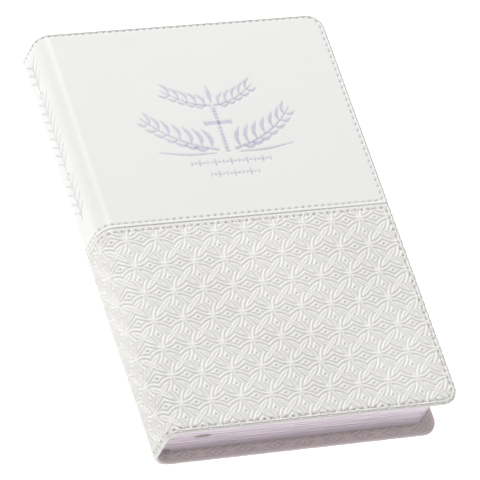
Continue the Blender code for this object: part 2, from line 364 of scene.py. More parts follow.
FRONT = CoverProfile(SHOULDER_DEPTH, SHOULDER_DROP, False)
BACK = CoverProfile(HEEL_DEPTH, HEEL_RISE, True)


def pattern_along(profile, along):
    """The place in the embossing, which runs on from the front over the spine to the back."""
    if profile.turned_over:
        return FRONT.middle - (along - profile.middle)
    return along


def smooth_rise(value, start, end):
    """0 before start, 1 after end and an S curve between."""
    share = np.clip((value - start) / (end - start), 0, 1)
    return share * share * (3 - 2 * share)


def new_mesh(name, points, faces, smooth=True):
    """An object made of points and faces, linked to the scene."""
    mesh = bpy.data.meshes.new(name)
    mesh.from_pydata(np.asarray(points, float).tolist(), [], faces)
    mesh.polygons.foreach_set("use_smooth", [smooth] * len(mesh.polygons))
    mesh.update()
    made = bpy.data.objects.new(name, mesh)
    bpy.context.scene.collection.objects.link(made)
    return made


def add_values(made, name, values):
    """One number for each point of the mesh, which materials can read."""
    attribute = made.data.attributes.new(name, "FLOAT", "POINT")
    attribute.data.foreach_set("value", np.asarray(values, np.float32).ravel())


def add_rest(made, places):
    """Where each point lay on the unrolled piece, so that grain stays put when it bends."""
    attribute = made.data.attributes.new("rest", "FLOAT_VECTOR", "POINT")
    attribute.data.foreach_set("vector", np.asarray(places, np.float32).ravel())


def grid_faces(numbers, turned=False):
    """Quads between neighbours in a table of point numbers."""
    a = numbers[:-1, :-1].ravel()
    b = numbers[1:, :-1].ravel()
    c = numbers[1:, 1:].ravel()
    d = numbers[:-1, 1:].ravel()
    corners = [a, d, c, b] if turned else [a, b, c, d]
    return np.stack(corners, -1).tolist()


def rim_of(numbers):
    """The numbers round the edge of a table of point numbers, back to the first."""
    return np.concatenate(
        [numbers[:, 0], numbers[-1, 1:], numbers[-2::-1, -1], numbers[0, -2::-1]]
    )


def spaced(stops):
    """Places from the first stop to the last; each stop after the first has its own step."""
    places = [stops[0][0]]
    for (start, _), (end, step) in zip(stops[:-1], stops[1:]):
        count = max(1, int(round(abs(end - start) / step)))
        places.extend(np.linspace(start, end, count + 1)[1:])
    return np.array(places)


def rounded_path(corners, radii, step):
    """A path through corners, rounded at the inner ones, as points about a step apart."""
    corners = np.array(corners, float)
    points = [corners[0]]
    for before, corner, after, radius in zip(
        corners[:-2], corners[1:-1], corners[2:], radii
    ):
        into = (corner - before) / np.linalg.norm(corner - before)
        out = (after - corner) / np.linalg.norm(after - corner)
        centre = corner - into * radius + out * radius
        for turn in np.linspace(0, math.pi / 2, 12):
            points.append(
                centre - out * radius * math.cos(turn) + into * radius * math.sin(turn)
            )
    points.append(corners[-1])
    points = np.array(points)
    gaps = np.hypot(*np.diff(points, axis=0).T)
    reached = np.concatenate([[0.0], np.cumsum(gaps)])
    count = max(2, int(round(reached[-1] / step)))
    wanted = np.linspace(0, reached[-1], count + 1)
    return np.stack([np.interp(wanted, reached, points[:, k]) for k in (0, 1)], -1)


def directions(points):
    """The unit direction of a path at each of its points."""
    ahead = np.gradient(points, axis=0)
    return ahead / np.maximum(np.linalg.norm(ahead, axis=1), 1e-12)[:, None]


# ---------------------------------------------------------------- leather


class LeatherPanel:
    """One finish of one cover, with half the spine.

    Places on it are (along, out): along the unrolled face from the spine, and out from the
    seam towards the head or the tail.
    """

    def __init__(self, name, profile, embossed, along, out):
        self.name = name
        self.profile = profile
        self.embossed = embossed
        self.along = along
        self.out = out
        self.side = -1.0 if embossed else 1.0
        self.reach = HALF_HEIGHT - self.side * SEAM_Y

    def y(self, out):
        """The place along the spine for a distance out from the seam."""
        return SEAM_Y + self.side * out

    def base_height(self, along, out):
        """The leather's height where nothing is pressed or sewn."""
        cover = bpy.context.scene.bible_cover
        swell_height = 0.00008
        waves_along = (71.0, 33.0)
        waves_out = (57.0, 41.0)
        shift_out = 1.3
        second_share = 0.6
        swell = swell_height * (
            np.sin(along * waves_along[0] + self.side) * np.cos(out * waves_out[0] + shift_out)
            + second_share * np.sin(along * waves_along[1] + out * waves_out[1])
        )
        flat_rim = 0.001
        full_swell = 0.012
        inward = np.minimum(BOOK_WIDTH - along, self.reach - out)
        swell = swell * smooth_rise(inward, flat_rim, full_swell)
        if not self.embossed:
            lip_top = 0.0006
            return swell + LIP_RAISE * (1 - smooth_rise(out, lip_top, LIP_SLOPE))
        lines = circle_lines(
            pattern_along(self.profile, along), self.y(out), cover.emboss_pitch
        )
        share_at_seam = 0.35
        faint_end = 0.0010
        full_start = 0.0030
        share = smooth_rise(out, faint_end, full_start)
        share = share_at_seam + (1 - share_at_seam) * share
        face_level = 0.62
        lines = (lines - face_level) * cover.emboss_height * share
        tuck = TUCK_DROP * (1 - smooth_rise(out, 0.0, TUCK_SLOPE))
        tucked_end = -0.0002
        free_start = 0.0008
        lines = lines * smooth_rise(out, tucked_end, free_start)
        swell_start = 0.01
        return lines - tuck + swell * smooth_rise(out, 0.0, swell_start)


def circle_lines(along, y, pitch):
    """Ridges from 0 in a groove to 1 on top, which echo a lattice of wide interlaced arcs."""
    across = (along - CIRCLE_START_ALONG) / CIRCLE_PITCH_ALONG
    up = (y - CIRCLE_START_Y) / CIRCLE_PITCH_ACROSS
    mean_pitch = (CIRCLE_PITCH_ALONG + CIRCLE_PITCH_ACROSS) / 2
    from_knot_x = np.abs(across - np.round(across))
    from_knot_y = np.abs(up - np.round(up))
    arc_radius = math.sqrt(0.5)
    arc_centre = 0.75
    level_arc = arc_radius - np.hypot(from_knot_x, arc_centre - from_knot_y)
    upright_arc = arc_radius - np.hypot(arc_centre - from_knot_x, from_knot_y)
    inside = np.minimum(level_arc, upright_arc) * mean_pitch
    wave = 0.5 - 0.5 * np.cos(2 * math.pi * inside / pitch)
    groove_sharpness = 1.2
    ridges = 1 - wave**groove_sharpness
    dot_radius = 0.00042
    level_dot = np.hypot(0.5 - from_knot_x, from_knot_y) * mean_pitch
    upright_dot = np.hypot(from_knot_x, 0.5 - from_knot_y) * mean_pitch
    dots = np.exp(-((level_dot / dot_radius) ** 2)) + np.exp(-((upright_dot / dot_radius) ** 2))
    knot = np.hypot(from_knot_x, from_knot_y) * mean_pitch
    dot_depth = 0.7
    knot_rise = 0.5
    knot_radius = 0.0009
    return ridges - dot_depth * dots + knot_rise * np.exp(-((knot / knot_radius) ** 2))


def row_of_holes(panel):
    """Needle holes of a panel's edge row and seam row, as one path of places on the panel."""
    cover = bpy.context.scene.bible_cover
    edge_inset = TAIL_INSET if panel.embossed else HEAD_INSET
    start = panel.profile.middle
    fore = BOOK_WIDTH - FORE_INSET
    edge = panel.reach - edge_inset
    corners = [(start, edge), (fore, edge), (fore, SEAM_INSET), (start, SEAM_INSET)]
    radii = [ROW_CORNER_RADIUS, SEAM_ROW_CORNER_RADIUS]
    return rounded_path(corners, radii, cover.stitch_pitch)


def pressed(panel, along, out, heights, marks):
    """The heights with marks pressed in, and how deep the marks are at each point.

    Each mark has a place, a direction, a long and a short radius and a depth.
    """
    reach = 0.0035
    depth_map = np.zeros_like(heights)
    for place, direction, long_radius, short_radius, depth in marks:
        first = np.searchsorted(panel.along, place[0] - reach)
        last = np.searchsorted(panel.along, place[0] + reach)
        low = np.searchsorted(panel.out, place[1] - reach)
        high = np.searchsorted(panel.out, place[1] + reach)
        if first >= last or low >= high:
            continue
        gap_along = along[first:last, low:high] - place[0]
        gap_out = out[first:last, low:high] - place[1]
        lengthwise = gap_along * direction[0] + gap_out * direction[1]
        sideways = gap_along * direction[1] - gap_out * direction[0]
        dent = np.exp(
            -((lengthwise / long_radius) ** 2) - (sideways / short_radius) ** 2
        )
        here = depth_map[first:last, low:high]
        np.maximum(here, dent * depth, out=here)
    return heights - depth_map, depth_map


def sewing_marks(holes):
    """The groove along a row of sewing, and its needle holes."""
    groove = []
    needle = []
    ways = directions(holes)
    groove_depth = 0.00005
    groove_length = 0.0009
    groove_width = 0.00070
    hole_depth = 0.00056
    hole_length = 0.00080
    hole_width = 0.00046
    for start, end in zip(holes[:-1], holes[1:]):
        for share in (0.0, 0.25, 0.5, 0.75):
            way = (end - start) / np.linalg.norm(end - start)
            place = start + (end - start) * share
            groove.append((place, way, groove_length, groove_width, groove_depth))
    for place, way in zip(holes, ways):
        needle.append((place, way, hole_length, hole_width, hole_depth))
    return groove, needle


def corner_mapped(panel, along, out):
    """The flat grid with its two fore corners drawn into round ones, and the outward ways."""
    along = along.copy()
    out = out.copy()
    fore = panel.along[-1]
    way_along = np.zeros_like(along)
    way_out = np.zeros_like(out)
    way_along[-1, :] = 1.0
    way_out[:-1, -1] = 1.0
    way_out[:-1, 0] = -1.0
    for edge, sign, radius in (
        (panel.out[-1], 1.0, CORNER_RADIUS - EDGE_RADIUS),
        (panel.out[0], -1.0, SEAM_CORNER_RADIUS),
    ):
        centre_along = fore - radius
        centre_out = edge - sign * radius
        past_along = along - centre_along
        past_out = (out - centre_out) * sign
        inside = (past_along > 0) & (past_out > 0)
        length = np.where(inside, np.hypot(past_along, past_out), 1.0)
        scale = np.where(inside, np.maximum(past_along, past_out) / length, 1.0)
        along = np.where(inside, centre_along + past_along * scale, along)
        out = np.where(inside, centre_out + sign * past_out * scale, out)
        way_along = np.where(inside, past_along / length, way_along)
        way_out = np.where(inside, sign * past_out / length, way_out)
    return along, out, way_along, way_out


def build_leather(panel, extra_marks):
    """The panel's mesh: its face, the rolled edge, the turned-in strip and the inner face."""
    flat_along, flat_out = np.meshgrid(panel.along, panel.out, indexing="ij")
    along, out, way_along, way_out = corner_mapped(panel, flat_along, flat_out)
    heights = panel.base_height(along, out)
    # The relief sets painted shade: grooves and the edge tucked under the smooth panel's lip come
    # out darker.
    if panel.embossed:
        relief = heights / bpy.context.scene.bible_cover.emboss_height
    else:
        relief = np.zeros_like(heights)
    groove, needle = sewing_marks(row_of_holes(panel))
    heights, _ = pressed(panel, along, out, heights, groove)
    heights, creases = pressed(panel, along, out, heights, extra_marks)
    # Pressed ornament marks take painted groove shade by their depth.
    relief = relief - creases / CREASE_FOR_FULL_SHADE
    heights, holes = pressed(panel, along, out, heights, needle)
    # How deep each needle hole is, which sets its painted shade.
    hollow = holes / max(holes.max(), 1e-9)

    points = [panel.profile.place(along, panel.y(out), heights).reshape(-1, 3)]
    flat_places = np.stack([pattern_along(panel.profile, along), panel.y(out), heights], -1)
    rest = [flat_places.reshape(-1, 3)]
    relief_values = [relief.ravel()]
    hollow_values = [hollow.ravel()]
    turn_in_shade_values = [np.zeros(hollow.size)]
    turn_in_shade_share = 0.0
    numbers = np.arange(along.size).reshape(along.shape)
    turned = panel.profile.turned_over != panel.embossed
    faces = grid_faces(numbers, turned)

    last_along, last_out = along.shape[0] - 1, along.shape[1] - 1
    rim = [(i, last_out) for i in range(last_along + 1)]
    rim += [(last_along, j) for j in range(last_out - 1, -1, -1)]
    rim += [(i, 0) for i in range(last_along - 1, -1, -1)]
    rows, columns = np.array(rim).T
    rim_along = along[rows, columns]
    rim_out = out[rows, columns]
    rim_height = heights[rows, columns]
    to_along = way_along[rows, columns]
    to_out = way_out[rows, columns]
    level_way = 0.05
    at_seam = (to_out < 0) & (to_along < level_way)
    seam_base = -TUCK_DROP if panel.embossed else LIP_RAISE
    base = np.where(at_seam, seam_base, 0.0)
    upright_radius = np.where(at_seam, LIP_RADIUS, EDGE_RADIUS)
    outward_share = np.where(to_out < 0, to_along**2, 1.0)
    flat_radius = LIP_RADIUS + (EDGE_RADIUS - LIP_RADIUS) * outward_share
    in_along = np.where(at_seam, 0.0, np.where(to_out < 0, 1.0, to_along))
    in_out = np.where(at_seam, -1.0, np.where(to_out < 0, 0.0, to_out))
    depth_in = np.where(at_seam, SEAM_TURN_IN, TURN_IN)

    loops = [numbers[rows, columns]]
    count = along.size

    def add_loop(loop_along, loop_out, loop_height, loop_relief):
        """One more loop of points round the panel's rim."""
        nonlocal count
        placed = panel.profile.place(loop_along, panel.y(loop_out), loop_height)
        points.append(placed)
        rest.append(
            np.stack(
                [
                    pattern_along(panel.profile, loop_along),
                    panel.y(loop_out) + loop_height,
                    loop_height,
                ],
                -1,
            )
        )
        relief_values.append(np.broadcast_to(loop_relief, loop_along.shape))
        hollow_values.append(np.zeros(loop_along.shape))
        turn_in_shade_values.append(np.full(loop_along.shape, turn_in_shade_share))
        loops.append(np.arange(count, count + len(loop_along)))
        count += len(loop_along)

    for turn in np.linspace(0, math.pi, ROLL_STEPS)[1:]:
        lean = math.cos(turn / 2) ** 2
        loop_height = base + (rim_height - base) * lean
        loop_height = loop_height + upright_radius * (math.cos(turn) - 1)
        bulge = flat_radius * math.sin(turn)
        if panel.embossed:
            # Painted shade grows round the embossed leather's rolled edge.
            turn_in_shade_share = float(smooth_rise(turn / math.pi, TURN_IN_SHADE_START, TURN_IN_SHADE_FULL))
        add_loop(rim_along + to_along * bulge, rim_out + to_out * bulge, loop_height, 0)
    under = base - 2 * upright_radius
    fine_step = 0.0004
    plain_step = 0.0012
    strip_rows = int(round(TURN_IN / (fine_step if panel.embossed else plain_step)))
    cover = bpy.context.scene.bible_cover
    # Full painted shade on the turned-in strip of the embossed leather.
    turn_in_shade_share = 1.0 if panel.embossed else 0.0
    run_on = math.pi * EDGE_RADIUS
    lines_full = 0.1
    strip_level = 0.66
    strip_contrast = 1.3
    strip_height = cover.emboss_height * 0.6
    for row in range(1, strip_rows + 1):
        share = row / strip_rows
        loop_along = rim_along - in_along * depth_in * share
        loop_out = rim_out - in_out * depth_in * share
        loop_height = under.copy()
        loop_relief = np.zeros_like(under)
        if panel.embossed:
            lines = circle_lines(
                pattern_along(panel.profile, loop_along + in_along * run_on),
                panel.y(loop_out + in_out * run_on),
                cover.emboss_pitch,
            )
            fade = smooth_rise(share, 0.0, lines_full)
            # The relief both presses the pattern into the strip and sets its painted groove shade.
            loop_relief = (lines - strip_level) * strip_contrast * fade
            shown = np.where(at_seam, 0.0, 1.0)
            loop_height = loop_height - loop_relief * strip_height * shown
        add_loop(loop_along, loop_out, loop_height, loop_relief)
    inner_along = rim_along - in_along * depth_in
    inner_out = rim_out - in_out * depth_in
    add_loop(inner_along, inner_out, np.full_like(under, -SKIN_DEPTH), 0)

    faces += grid_faces(np.array(loops), turned)
    inner = loops[-1]
    clear_of_strip = TURN_IN * 1.2
    head_count = int(np.searchsorted(panel.along, panel.along[-1] - clear_of_strip))
    for i in range(head_count - 1):
        quad = [inner[i], inner[i + 1], inner[-2 - i], inner[-1 - i]]
        faces.append([int(k) for k in (quad[::-1] if turned else quad)])

    made = new_mesh(panel.name, np.concatenate(points), faces)
    add_rest(made, np.concatenate(rest))
    add_values(made, "relief", np.concatenate(relief_values))
    add_values(made, "hollow", np.concatenate(hollow_values))
    add_values(made, "dull", np.concatenate(turn_in_shade_values))
    return made


def bend_with_cover(made, profile):
    """Bakes the piece's placing into its mesh."""
    if profile.turned_over:
        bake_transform(made)
        return
    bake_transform(made)


def smooth_places(profile):
    """Mesh places of a smooth panel: finer where it is sewn, pressed or folded."""
    fore = BOOK_WIDTH - EDGE_RADIUS
    sewn_band = 0.005
    fine = 0.0003
    plain = 0.0009
    ornament_step = 0.0004
    ornament_start = 0.033
    ornament_end = 0.113
    back_fold_step = 0.0005
    back_step = 0.0015
    if profile.turned_over:
        stops = [(profile.depth, back_fold_step), (fore - sewn_band, back_step)]
    else:
        stops = [
            (profile.depth, ornament_step),
            (ornament_start, plain),
            (ornament_end, ornament_step),
            (fore - sewn_band, plain),
        ]
    along = spaced([(profile.middle, 0), (0.0, fine)] + stops + [(fore, fine)])
    reach = HALF_HEIGHT - SEAM_Y - EDGE_RADIUS
    middle_step = 0.00036
    out = spaced(
        [(LIP_RADIUS, 0), (sewn_band, fine), (reach - sewn_band, middle_step), (reach, fine)]
    )
    return along, out


def embossed_places(profile, step):
    """Mesh places of an embossed panel."""
    fore = BOOK_WIDTH - EDGE_RADIUS
    reach = HALF_HEIGHT + SEAM_Y - EDGE_RADIUS
    out_step = bpy.context.scene.bible_cover.emboss_step
    along = spaced([(profile.middle, 0), (fore, step)])
    out = spaced([(-TUCK_LENGTH, 0), (reach, out_step)])
    return along, out


# ---------------------------------------------------------------- ornament


def stroke(points, widths, count=14):
    """A brush stroke through a few points, as a smooth line with widths along it."""
    points = np.array(points, float)
    known = np.linspace(0, 1, len(points))
    wanted = np.linspace(0, 1, count)
    line = np.stack([catmull(known, points[:, k], wanted) for k in (0, 1)], -1)
    width = np.interp(wanted, np.linspace(0, 1, len(widths)), widths)
    return line, width


def catmull(known, values, wanted):
    """Smooth values between known ones."""
    slopes = np.gradient(values, known)
    place = np.clip(np.searchsorted(known, wanted, side="right") - 1, 0, len(known) - 2)
    span = known[place + 1] - known[place]
    t = (wanted - known[place]) / span
    from_start = 2 * t**3 - 3 * t**2 + 1
    leaving = t**3 - 2 * t**2 + t
    to_end = -2 * t**3 + 3 * t**2
    arriving = t**3 - t**2
    return (
        from_start * values[place]
        + leaving * span * slopes[place]
        + to_end * values[place + 1]
        + arriving * span * slopes[place + 1]
    )


def moved(shape, root, size=1.0):
    """A shape given from its root, at its place and size."""
    return [np.array(root) + np.array(place) * size for place in shape]


def leaf(root, shape, widths, size=1.0, count=14):
    """A stroke that ends in fine tips."""
    full = [width * size for width in widths]
    return stroke(moved(shape, root, size), [FINE_TIP, *full, FINE_TIP], count)


def both_sides(strokes, centre):
    """The strokes and their mirror images about a middle line."""
    made = []
    for line, width in strokes:
        made.append((line, width))
        other = line.copy()
        other[:, 0] = 2 * centre - other[:, 0]
        made.append((other, width))
    return made


def front_ornament():
    """A cross between leafy scrolls, a spray above it and two rows of lozenges below."""
    middle = 0.0730
    base = 0.0345
    top = 0.0577
    foot = (middle, base)
    post_widths = [0.0021, 0.0016, 0.0021]
    arm_widths = [0.0019, 0.0014, 0.0019]
    arm_reach = 0.0068
    arm_share = 0.66
    arm = base + (top - base) * arm_share
    strokes = [
        stroke([foot, (middle, top)], post_widths),
        stroke([(middle - arm_reach, arm), (middle + arm_reach, arm)], arm_widths),
    ]
    branch = moved(BRANCH, foot)
    side = [stroke(branch, [0.0011, 0.0008, 0.0004], 40)]
    stem, _ = stroke(branch, [FINE_TIP], 101)
    leaf_pairs = 7
    first_leaf = 8
    leaf_pitch = 13
    shrink = 0.06
    for number in range(leaf_pairs):
        root = stem[first_leaf + number * leaf_pitch]
        size = 1.0 - shrink * number
        side.append(leaf(root, UP_LEAF, [0.0019, 0.0021], size, 18))
        side.append(leaf(root, LOW_LEAF, [0.0016, 0.0017], size, 18))
    side.append(stroke(moved(GROUND_LINE, foot), [0.0004, 0.0009, 0.0003], 24))
    spray_gap = 0.0012
    spray = top + spray_gap
    side.append(stroke(moved(SPRAY_STEM, (middle, spray)), [0.0009, 0.0006, 0.0003], 20))
    stem_start = SPRAY_STEM[0][0]
    stem_end, stem_rise = SPRAY_STEM[-1]
    stem_curve = 1.5
    for share in (0.12, 0.30, 0.48, 0.66, 0.84):
        x = middle + stem_start + (stem_end - stem_start) * share
        y = spray + stem_rise * share**stem_curve
        side.append(leaf((x, y), SPRAY_UP_LEAF, [0.0015]))
        side.append(leaf((x, y), SPRAY_LOW_LEAF, [0.0012]))
    strokes.append(leaf((middle, spray), BUD, [0.0022]))
    lozenge_pitch = 0.0039
    tall = 0.0030
    low_share = 0.55
    width_share = 0.45
    for row_y, count in ((0.0292, 6), (0.0229, 4)):
        for number in range(count):
            x = middle + number * lozenge_pitch
            size = tall if number % 2 == 0 else tall * low_share
            mark = leaf((x, row_y), LOZENGE, [width_share], size, 7)
            if number == 0:
                strokes.append(mark)
                continue
            side.append(mark)
            side.append(leaf((x - lozenge_pitch / 2, row_y), DASH, [0.0006], count=5))
    return strokes + both_sides(side, middle)


def spine_ornament(profile):
    """Strokes of a sprig pressed into the smooth leather of the spine, for one half of it."""
    middle = profile.middle
    stem_widths = [0.0005, 0.0006, 0.0005]
    leaf_widths = [0.0005, 0.0007, 0.0004]
    lozenge_widths = [0.0005, 0.0005]
    leaf_pitch = 0.0048
    first_leaf = 0.4
    strokes = []
    for start, end in ((0.0140, 0.0330), (0.0400, 0.0760), (0.0830, 0.0960)):
        strokes.append(stroke([(middle, start), (middle, end)], stem_widths, 40))
        count = int(round((end - start) / leaf_pitch))
        for number in range(count):
            y = start + (end - start) * (number + first_leaf) / count
            strokes.append(stroke(moved(SPRIG_LEAF, (middle, y)), leaf_widths, 12))
    for y in (0.0365, 0.0795):
        strokes.append(stroke(moved(SPRIG_LOZENGE, (middle, y)), lozenge_widths, 9))
    return strokes


def stroke_marks(strokes, depth, spread):
    """What the strokes press into the leather."""
    marks = []
    for line, width in strokes:
        ways = directions(line)
        for place, way, wide in zip(line, ways, width):
            radius = wide / 2 + spread
            marks.append((place, way, STROKE_STEP, radius, depth))
    return marks


# ---------------------------------------------------------------- sewing


def thread_along(name, panel):
    """One thread that dips into each needle hole of the panel's row."""
    cover = bpy.context.scene.bible_cover
    holes = row_of_holes(panel)
    radius = cover.thread_diameter / 2
    per_stitch = 8
    sides = 6
    shares = np.arange(per_stitch) / per_stitch
    line = []
    lifts = []
    dip = -0.00070
    crest = -0.00009
    fullness = 0.8
    for start, end in zip(holes[:-1], holes[1:]):
        for share in shares:
            line.append(start + (end - start) * share)
            lifts.append(dip + (crest - dip) * math.sin(math.pi * share) ** fullness)
    line.append(holes[-1])
    lifts.append(dip)
    line = np.array(line)
    ways = directions(line)
    base = np.zeros(len(line))
    if not panel.embossed:
        base = panel.base_height(line[:, 0], line[:, 1])
    rings = []
    for angle in np.linspace(0, 2 * math.pi, sides, endpoint=False):
        along = line[:, 0] + ways[:, 1] * radius * math.cos(angle)
        out = line[:, 1] - ways[:, 0] * radius * math.cos(angle)
        height = base + np.array(lifts) + radius * math.sin(angle)
        rings.append(panel.profile.place(along, panel.y(out), height))
    rings = np.stack(rings, 1)
    numbers = np.arange(rings.shape[0] * sides).reshape(-1, sides)
    numbers = np.concatenate([numbers, numbers[:, :1]], 1)
    faces = grid_faces(numbers, panel.profile.turned_over == panel.embossed)
    made = new_mesh(name, rings.reshape(-1, 3), faces)
    run = np.repeat(np.arange(len(line)) / per_stitch, sides)
    round_it = np.tile(np.arange(sides) / sides, len(line))
    add_rest(made, np.stack([run, round_it, np.zeros_like(run)], -1))
    return made


def foil_strips(name, panel, strokes, level, thickness):
    """Thin foil laid in the strokes' hollows."""
    points = []
    faces = []
    for line, width in strokes:
        ways = directions(line)
        side_along = ways[:, 1] * width / 2
        side_out = -ways[:, 0] * width / 2
        rows = []
        for sign, low in ((1, 0), (1, 1), (-1, 1), (-1, 0)):
            at_along = line[:, 0] + sign * side_along
            at_out = line[:, 1] + sign * side_out
            height = panel.base_height(at_along, at_out) + level - thickness * low
            rows.append(panel.profile.place(at_along, panel.y(at_out), height))
        first = sum(len(p) for p in points)
        ring = np.stack(rows, 1)
        numbers = first + np.arange(ring.shape[0] * 4).reshape(-1, 4)
        closed = np.concatenate([numbers, numbers[:, :1]], 1)
        faces += grid_faces(closed)
        faces.append([int(k) for k in numbers[0]])
        faces.append([int(k) for k in numbers[-1][::-1]])
        points.append(ring.reshape(-1, 3))
    made = new_mesh(name, np.concatenate(points), faces, smooth=False)
    add_rest(made, np.concatenate(points))
    return made


# ---------------------------------------------------------------- leaves


def leaf_outline(low, high, corner, steps):
    """Half heights of a leaf for places across it: straight, then round at the fore corners."""
    straight_end = high.x - corner
    plain_step = 0.006
    corner_steps = 8
    across = spaced(steps + [(straight_end, plain_step)])
    turns = np.linspace(0, math.pi / 2, corner_steps + 1)[1:]
    across = np.concatenate([across, straight_end + corner * np.sin(turns)])
    half = np.full(len(across), (high.y - low.y) / 2)
    over = np.clip((across - straight_end) / corner, 0, 1)
    half = half - corner * (1 - np.sqrt(np.clip(1 - over**2, 0, 1)))
    return across, half


def layered_stack(name, low, high, corner, steps, layers, unevenness, random):
    """A bundle of leaves whose edges show as separate layers."""
    across, half = leaf_outline(low, high, corner, steps)
    centre_y = (low.y + high.y) / 2
    fore_points = 16
    fore_half = half[-1]
    fore_y = np.linspace(-fore_half, fore_half, fore_points + 2)[1:-1]
    ring_x = np.concatenate([across, np.full(fore_points, across[-1]), across[::-1]])
    ring_y = np.concatenate([-half, fore_y, half[::-1]])
    none = np.zeros(len(across))
    full = np.ones(len(across))
    way_x = np.concatenate([none, np.ones(fore_points), none])
    way_y = np.concatenate([-full, np.zeros(fore_points), full])
    bend = np.clip((ring_x - (across[-1] - corner)) / corner, 0, 1)
    at_ends = np.abs(way_y) > 0
    way_x = np.where(at_ends, bend, way_x)
    way_y = np.where(at_ends, way_y * np.sqrt(np.clip(1 - bend**2, 0, 1)), way_y)
    thickness = (high.z - low.z) / layers
    crease = thickness * 0.18
    most_out = unevenness * 0.4
    crease_depth = unevenness * 0.9
    levels = []
    for layer in range(layers):
        stand = random.uniform(-unevenness, most_out)
        bottom = low.z + layer * thickness
        levels.append((bottom, stand - crease_depth))
        levels.append((bottom + crease, stand))
        levels.append((bottom + thickness - crease, stand))
    levels.append((high.z, levels[-1][1] - crease_depth))
    turn = 6.28
    phases = random.uniform(0, turn, 3)
    wobble = 0.00003
    waves = (160, 140)
    layer_shifts = (4000, 3000)
    points = []
    for level, stand in levels:
        across_wave = np.sin(ring_x * waves[0] + phases[0] + level * layer_shifts[0])
        along_wave = np.sin(ring_y * waves[1] + phases[1] + level * layer_shifts[1])
        offset = stand + wobble * (across_wave + along_wave)
        x = ring_x + way_x * offset
        y = centre_y + ring_y + way_y * offset
        points.append(np.stack([x, y, np.full(len(x), level)], -1))
    points = np.array(points)
    size = len(ring_x)
    numbers = np.arange(points.shape[0] * size).reshape(-1, size)
    sides = grid_faces(numbers, True)
    spine_wall = grid_faces(numbers[:, [0, -1]].T)
    flat = []
    count = len(across)
    for ring, turned in ((numbers[0], True), (numbers[-1], False)):
        for i in range(count - 1):
            quad = [ring[i], ring[i + 1], ring[size - 2 - i], ring[size - 1 - i]]
            flat.append([int(k) for k in (quad[::-1] if turned else quad)])
        fore = [int(k) for k in ring[count - 1 : size - count + 1]]
        flat.append(fore[::-1] if turned else fore)
    faces = sides + spine_wall + flat
    flat_points = points.reshape(-1, 3)
    made = new_mesh(name, flat_points, faces, smooth=False)
    add_rest(made, flat_points)
    kinds = np.array([1] * (len(sides) + len(spine_wall)) + [0] * len(flat), np.int32)
    made.data.polygons.foreach_set("material_index", kinds)
    return made


def paper_sheet(name, low, high, corner, steps, ripple):
    """One stiff sheet of paper with rounded fore corners and a slight ripple."""
    across, half = leaf_outline(low, high, corner, steps)
    rows = 24
    share = np.linspace(-1, 1, rows)
    x = np.repeat(across[:, None], rows, 1)
    y = (low.y + high.y) / 2 + half[:, None] * share[None, :]
    slant = (48.0, 21.0)
    ripple_rate = 37.0
    wave = ripple * np.sin(x * slant[0] + y * slant[1]) * np.cos(y * ripple_rate)
    tops = []
    for level in (high.z, low.z):
        tops.append(np.stack([x, y, level + wave], -1).reshape(-1, 3))
    size = x.size
    top = np.arange(size).reshape(x.shape)
    bottom = top + size
    faces = grid_faces(top) + grid_faces(bottom, True)
    rim = rim_of(top)
    loops = np.array([rim, rim + size])
    faces += grid_faces(loops, True)
    points = np.concatenate(tops)
    made = new_mesh(name, points, faces, smooth=False)
    add_rest(made, points)
    return made


# ---------------------------------------------------------------- shader helpers


class Shader:
    """Short ways to add and join nodes in one node tree."""

    def __init__(self, tree):
        self.tree = tree

    def add(self, kind, **settings):
        """A new node with its settings."""
        node = self.tree.nodes.new(kind)
        for name, value in settings.items():
            setattr(node, name, value)
        return node

    def join(self, source, target):
        """Links an output to an input."""
        self.tree.links.new(source, target)

    def math(self, operation, first, second=None, third=None, clamp=False):
        """One step of arithmetic on values, each of them a number or an output."""
        node = self.add("ShaderNodeMath", operation=operation, use_clamp=clamp)
        for socket, value in zip(node.inputs, (first, second, third)):
            if value is None:
                continue
            if isinstance(value, (int, float)):
                socket.default_value = value
            else:
                self.join(value, socket)
        return node.outputs[0]

    def mix(self, share, first, second, blend_type="MIX"):
        """A mix of two colours, each of them a colour or an output."""
        node = self.add("ShaderNodeMix", data_type="RGBA", blend_type=blend_type)
        sockets = [node.inputs[0], node.inputs[6], node.inputs[7]]
        for socket, value in zip(sockets, (share, first, second)):
            if isinstance(value, (int, float)):
                socket.default_value = value
            elif isinstance(value, (tuple, list)):
                socket.default_value = tuple(value)
            else:
                self.join(value, socket)
        return node.outputs[2]

    def noise(self, vector, scale, detail=3.0, roughness=0.5):
        """Soft random patches."""
        node = self.add("ShaderNodeTexNoise")
        node.inputs["Scale"].default_value = scale
        node.inputs["Detail"].default_value = detail
        node.inputs["Roughness"].default_value = roughness
        self.join(vector, node.inputs["Vector"])
        return node.outputs["Fac"]

    def stretched(self, vector, factors):
        """Places with each direction scaled by itself."""
        node = self.add("ShaderNodeVectorMath", operation="MULTIPLY")
        self.join(vector, node.inputs[0])
        node.inputs[1].default_value = factors
        return node.outputs[0]

    def parts(self, vector):
        """The X, Y and Z of a place."""
        node = self.add("ShaderNodeSeparateXYZ")
        self.join(vector, node.inputs[0])
        return node.outputs


def start_group(name, inputs, outputs):
    """A node group with named sockets, and its helper."""
    group = bpy.data.node_groups.new(name, "ShaderNodeTree")
    for label, kind, value in inputs:
        socket = group.interface.new_socket(label, in_out="INPUT", socket_type=kind)
        if value is not None:
            socket.default_value = value
    for label, kind in outputs:
        group.interface.new_socket(label, in_out="OUTPUT", socket_type=kind)
    shader = Shader(group)
    source = shader.add("NodeGroupInput")
    target = shader.add("NodeGroupOutput")
    return group, shader, source, target


def rgba(colour, scale=1.0):
    """A colour with its alpha."""
    return (colour[0] * scale, colour[1] * scale, colour[2] * scale, 1.0)


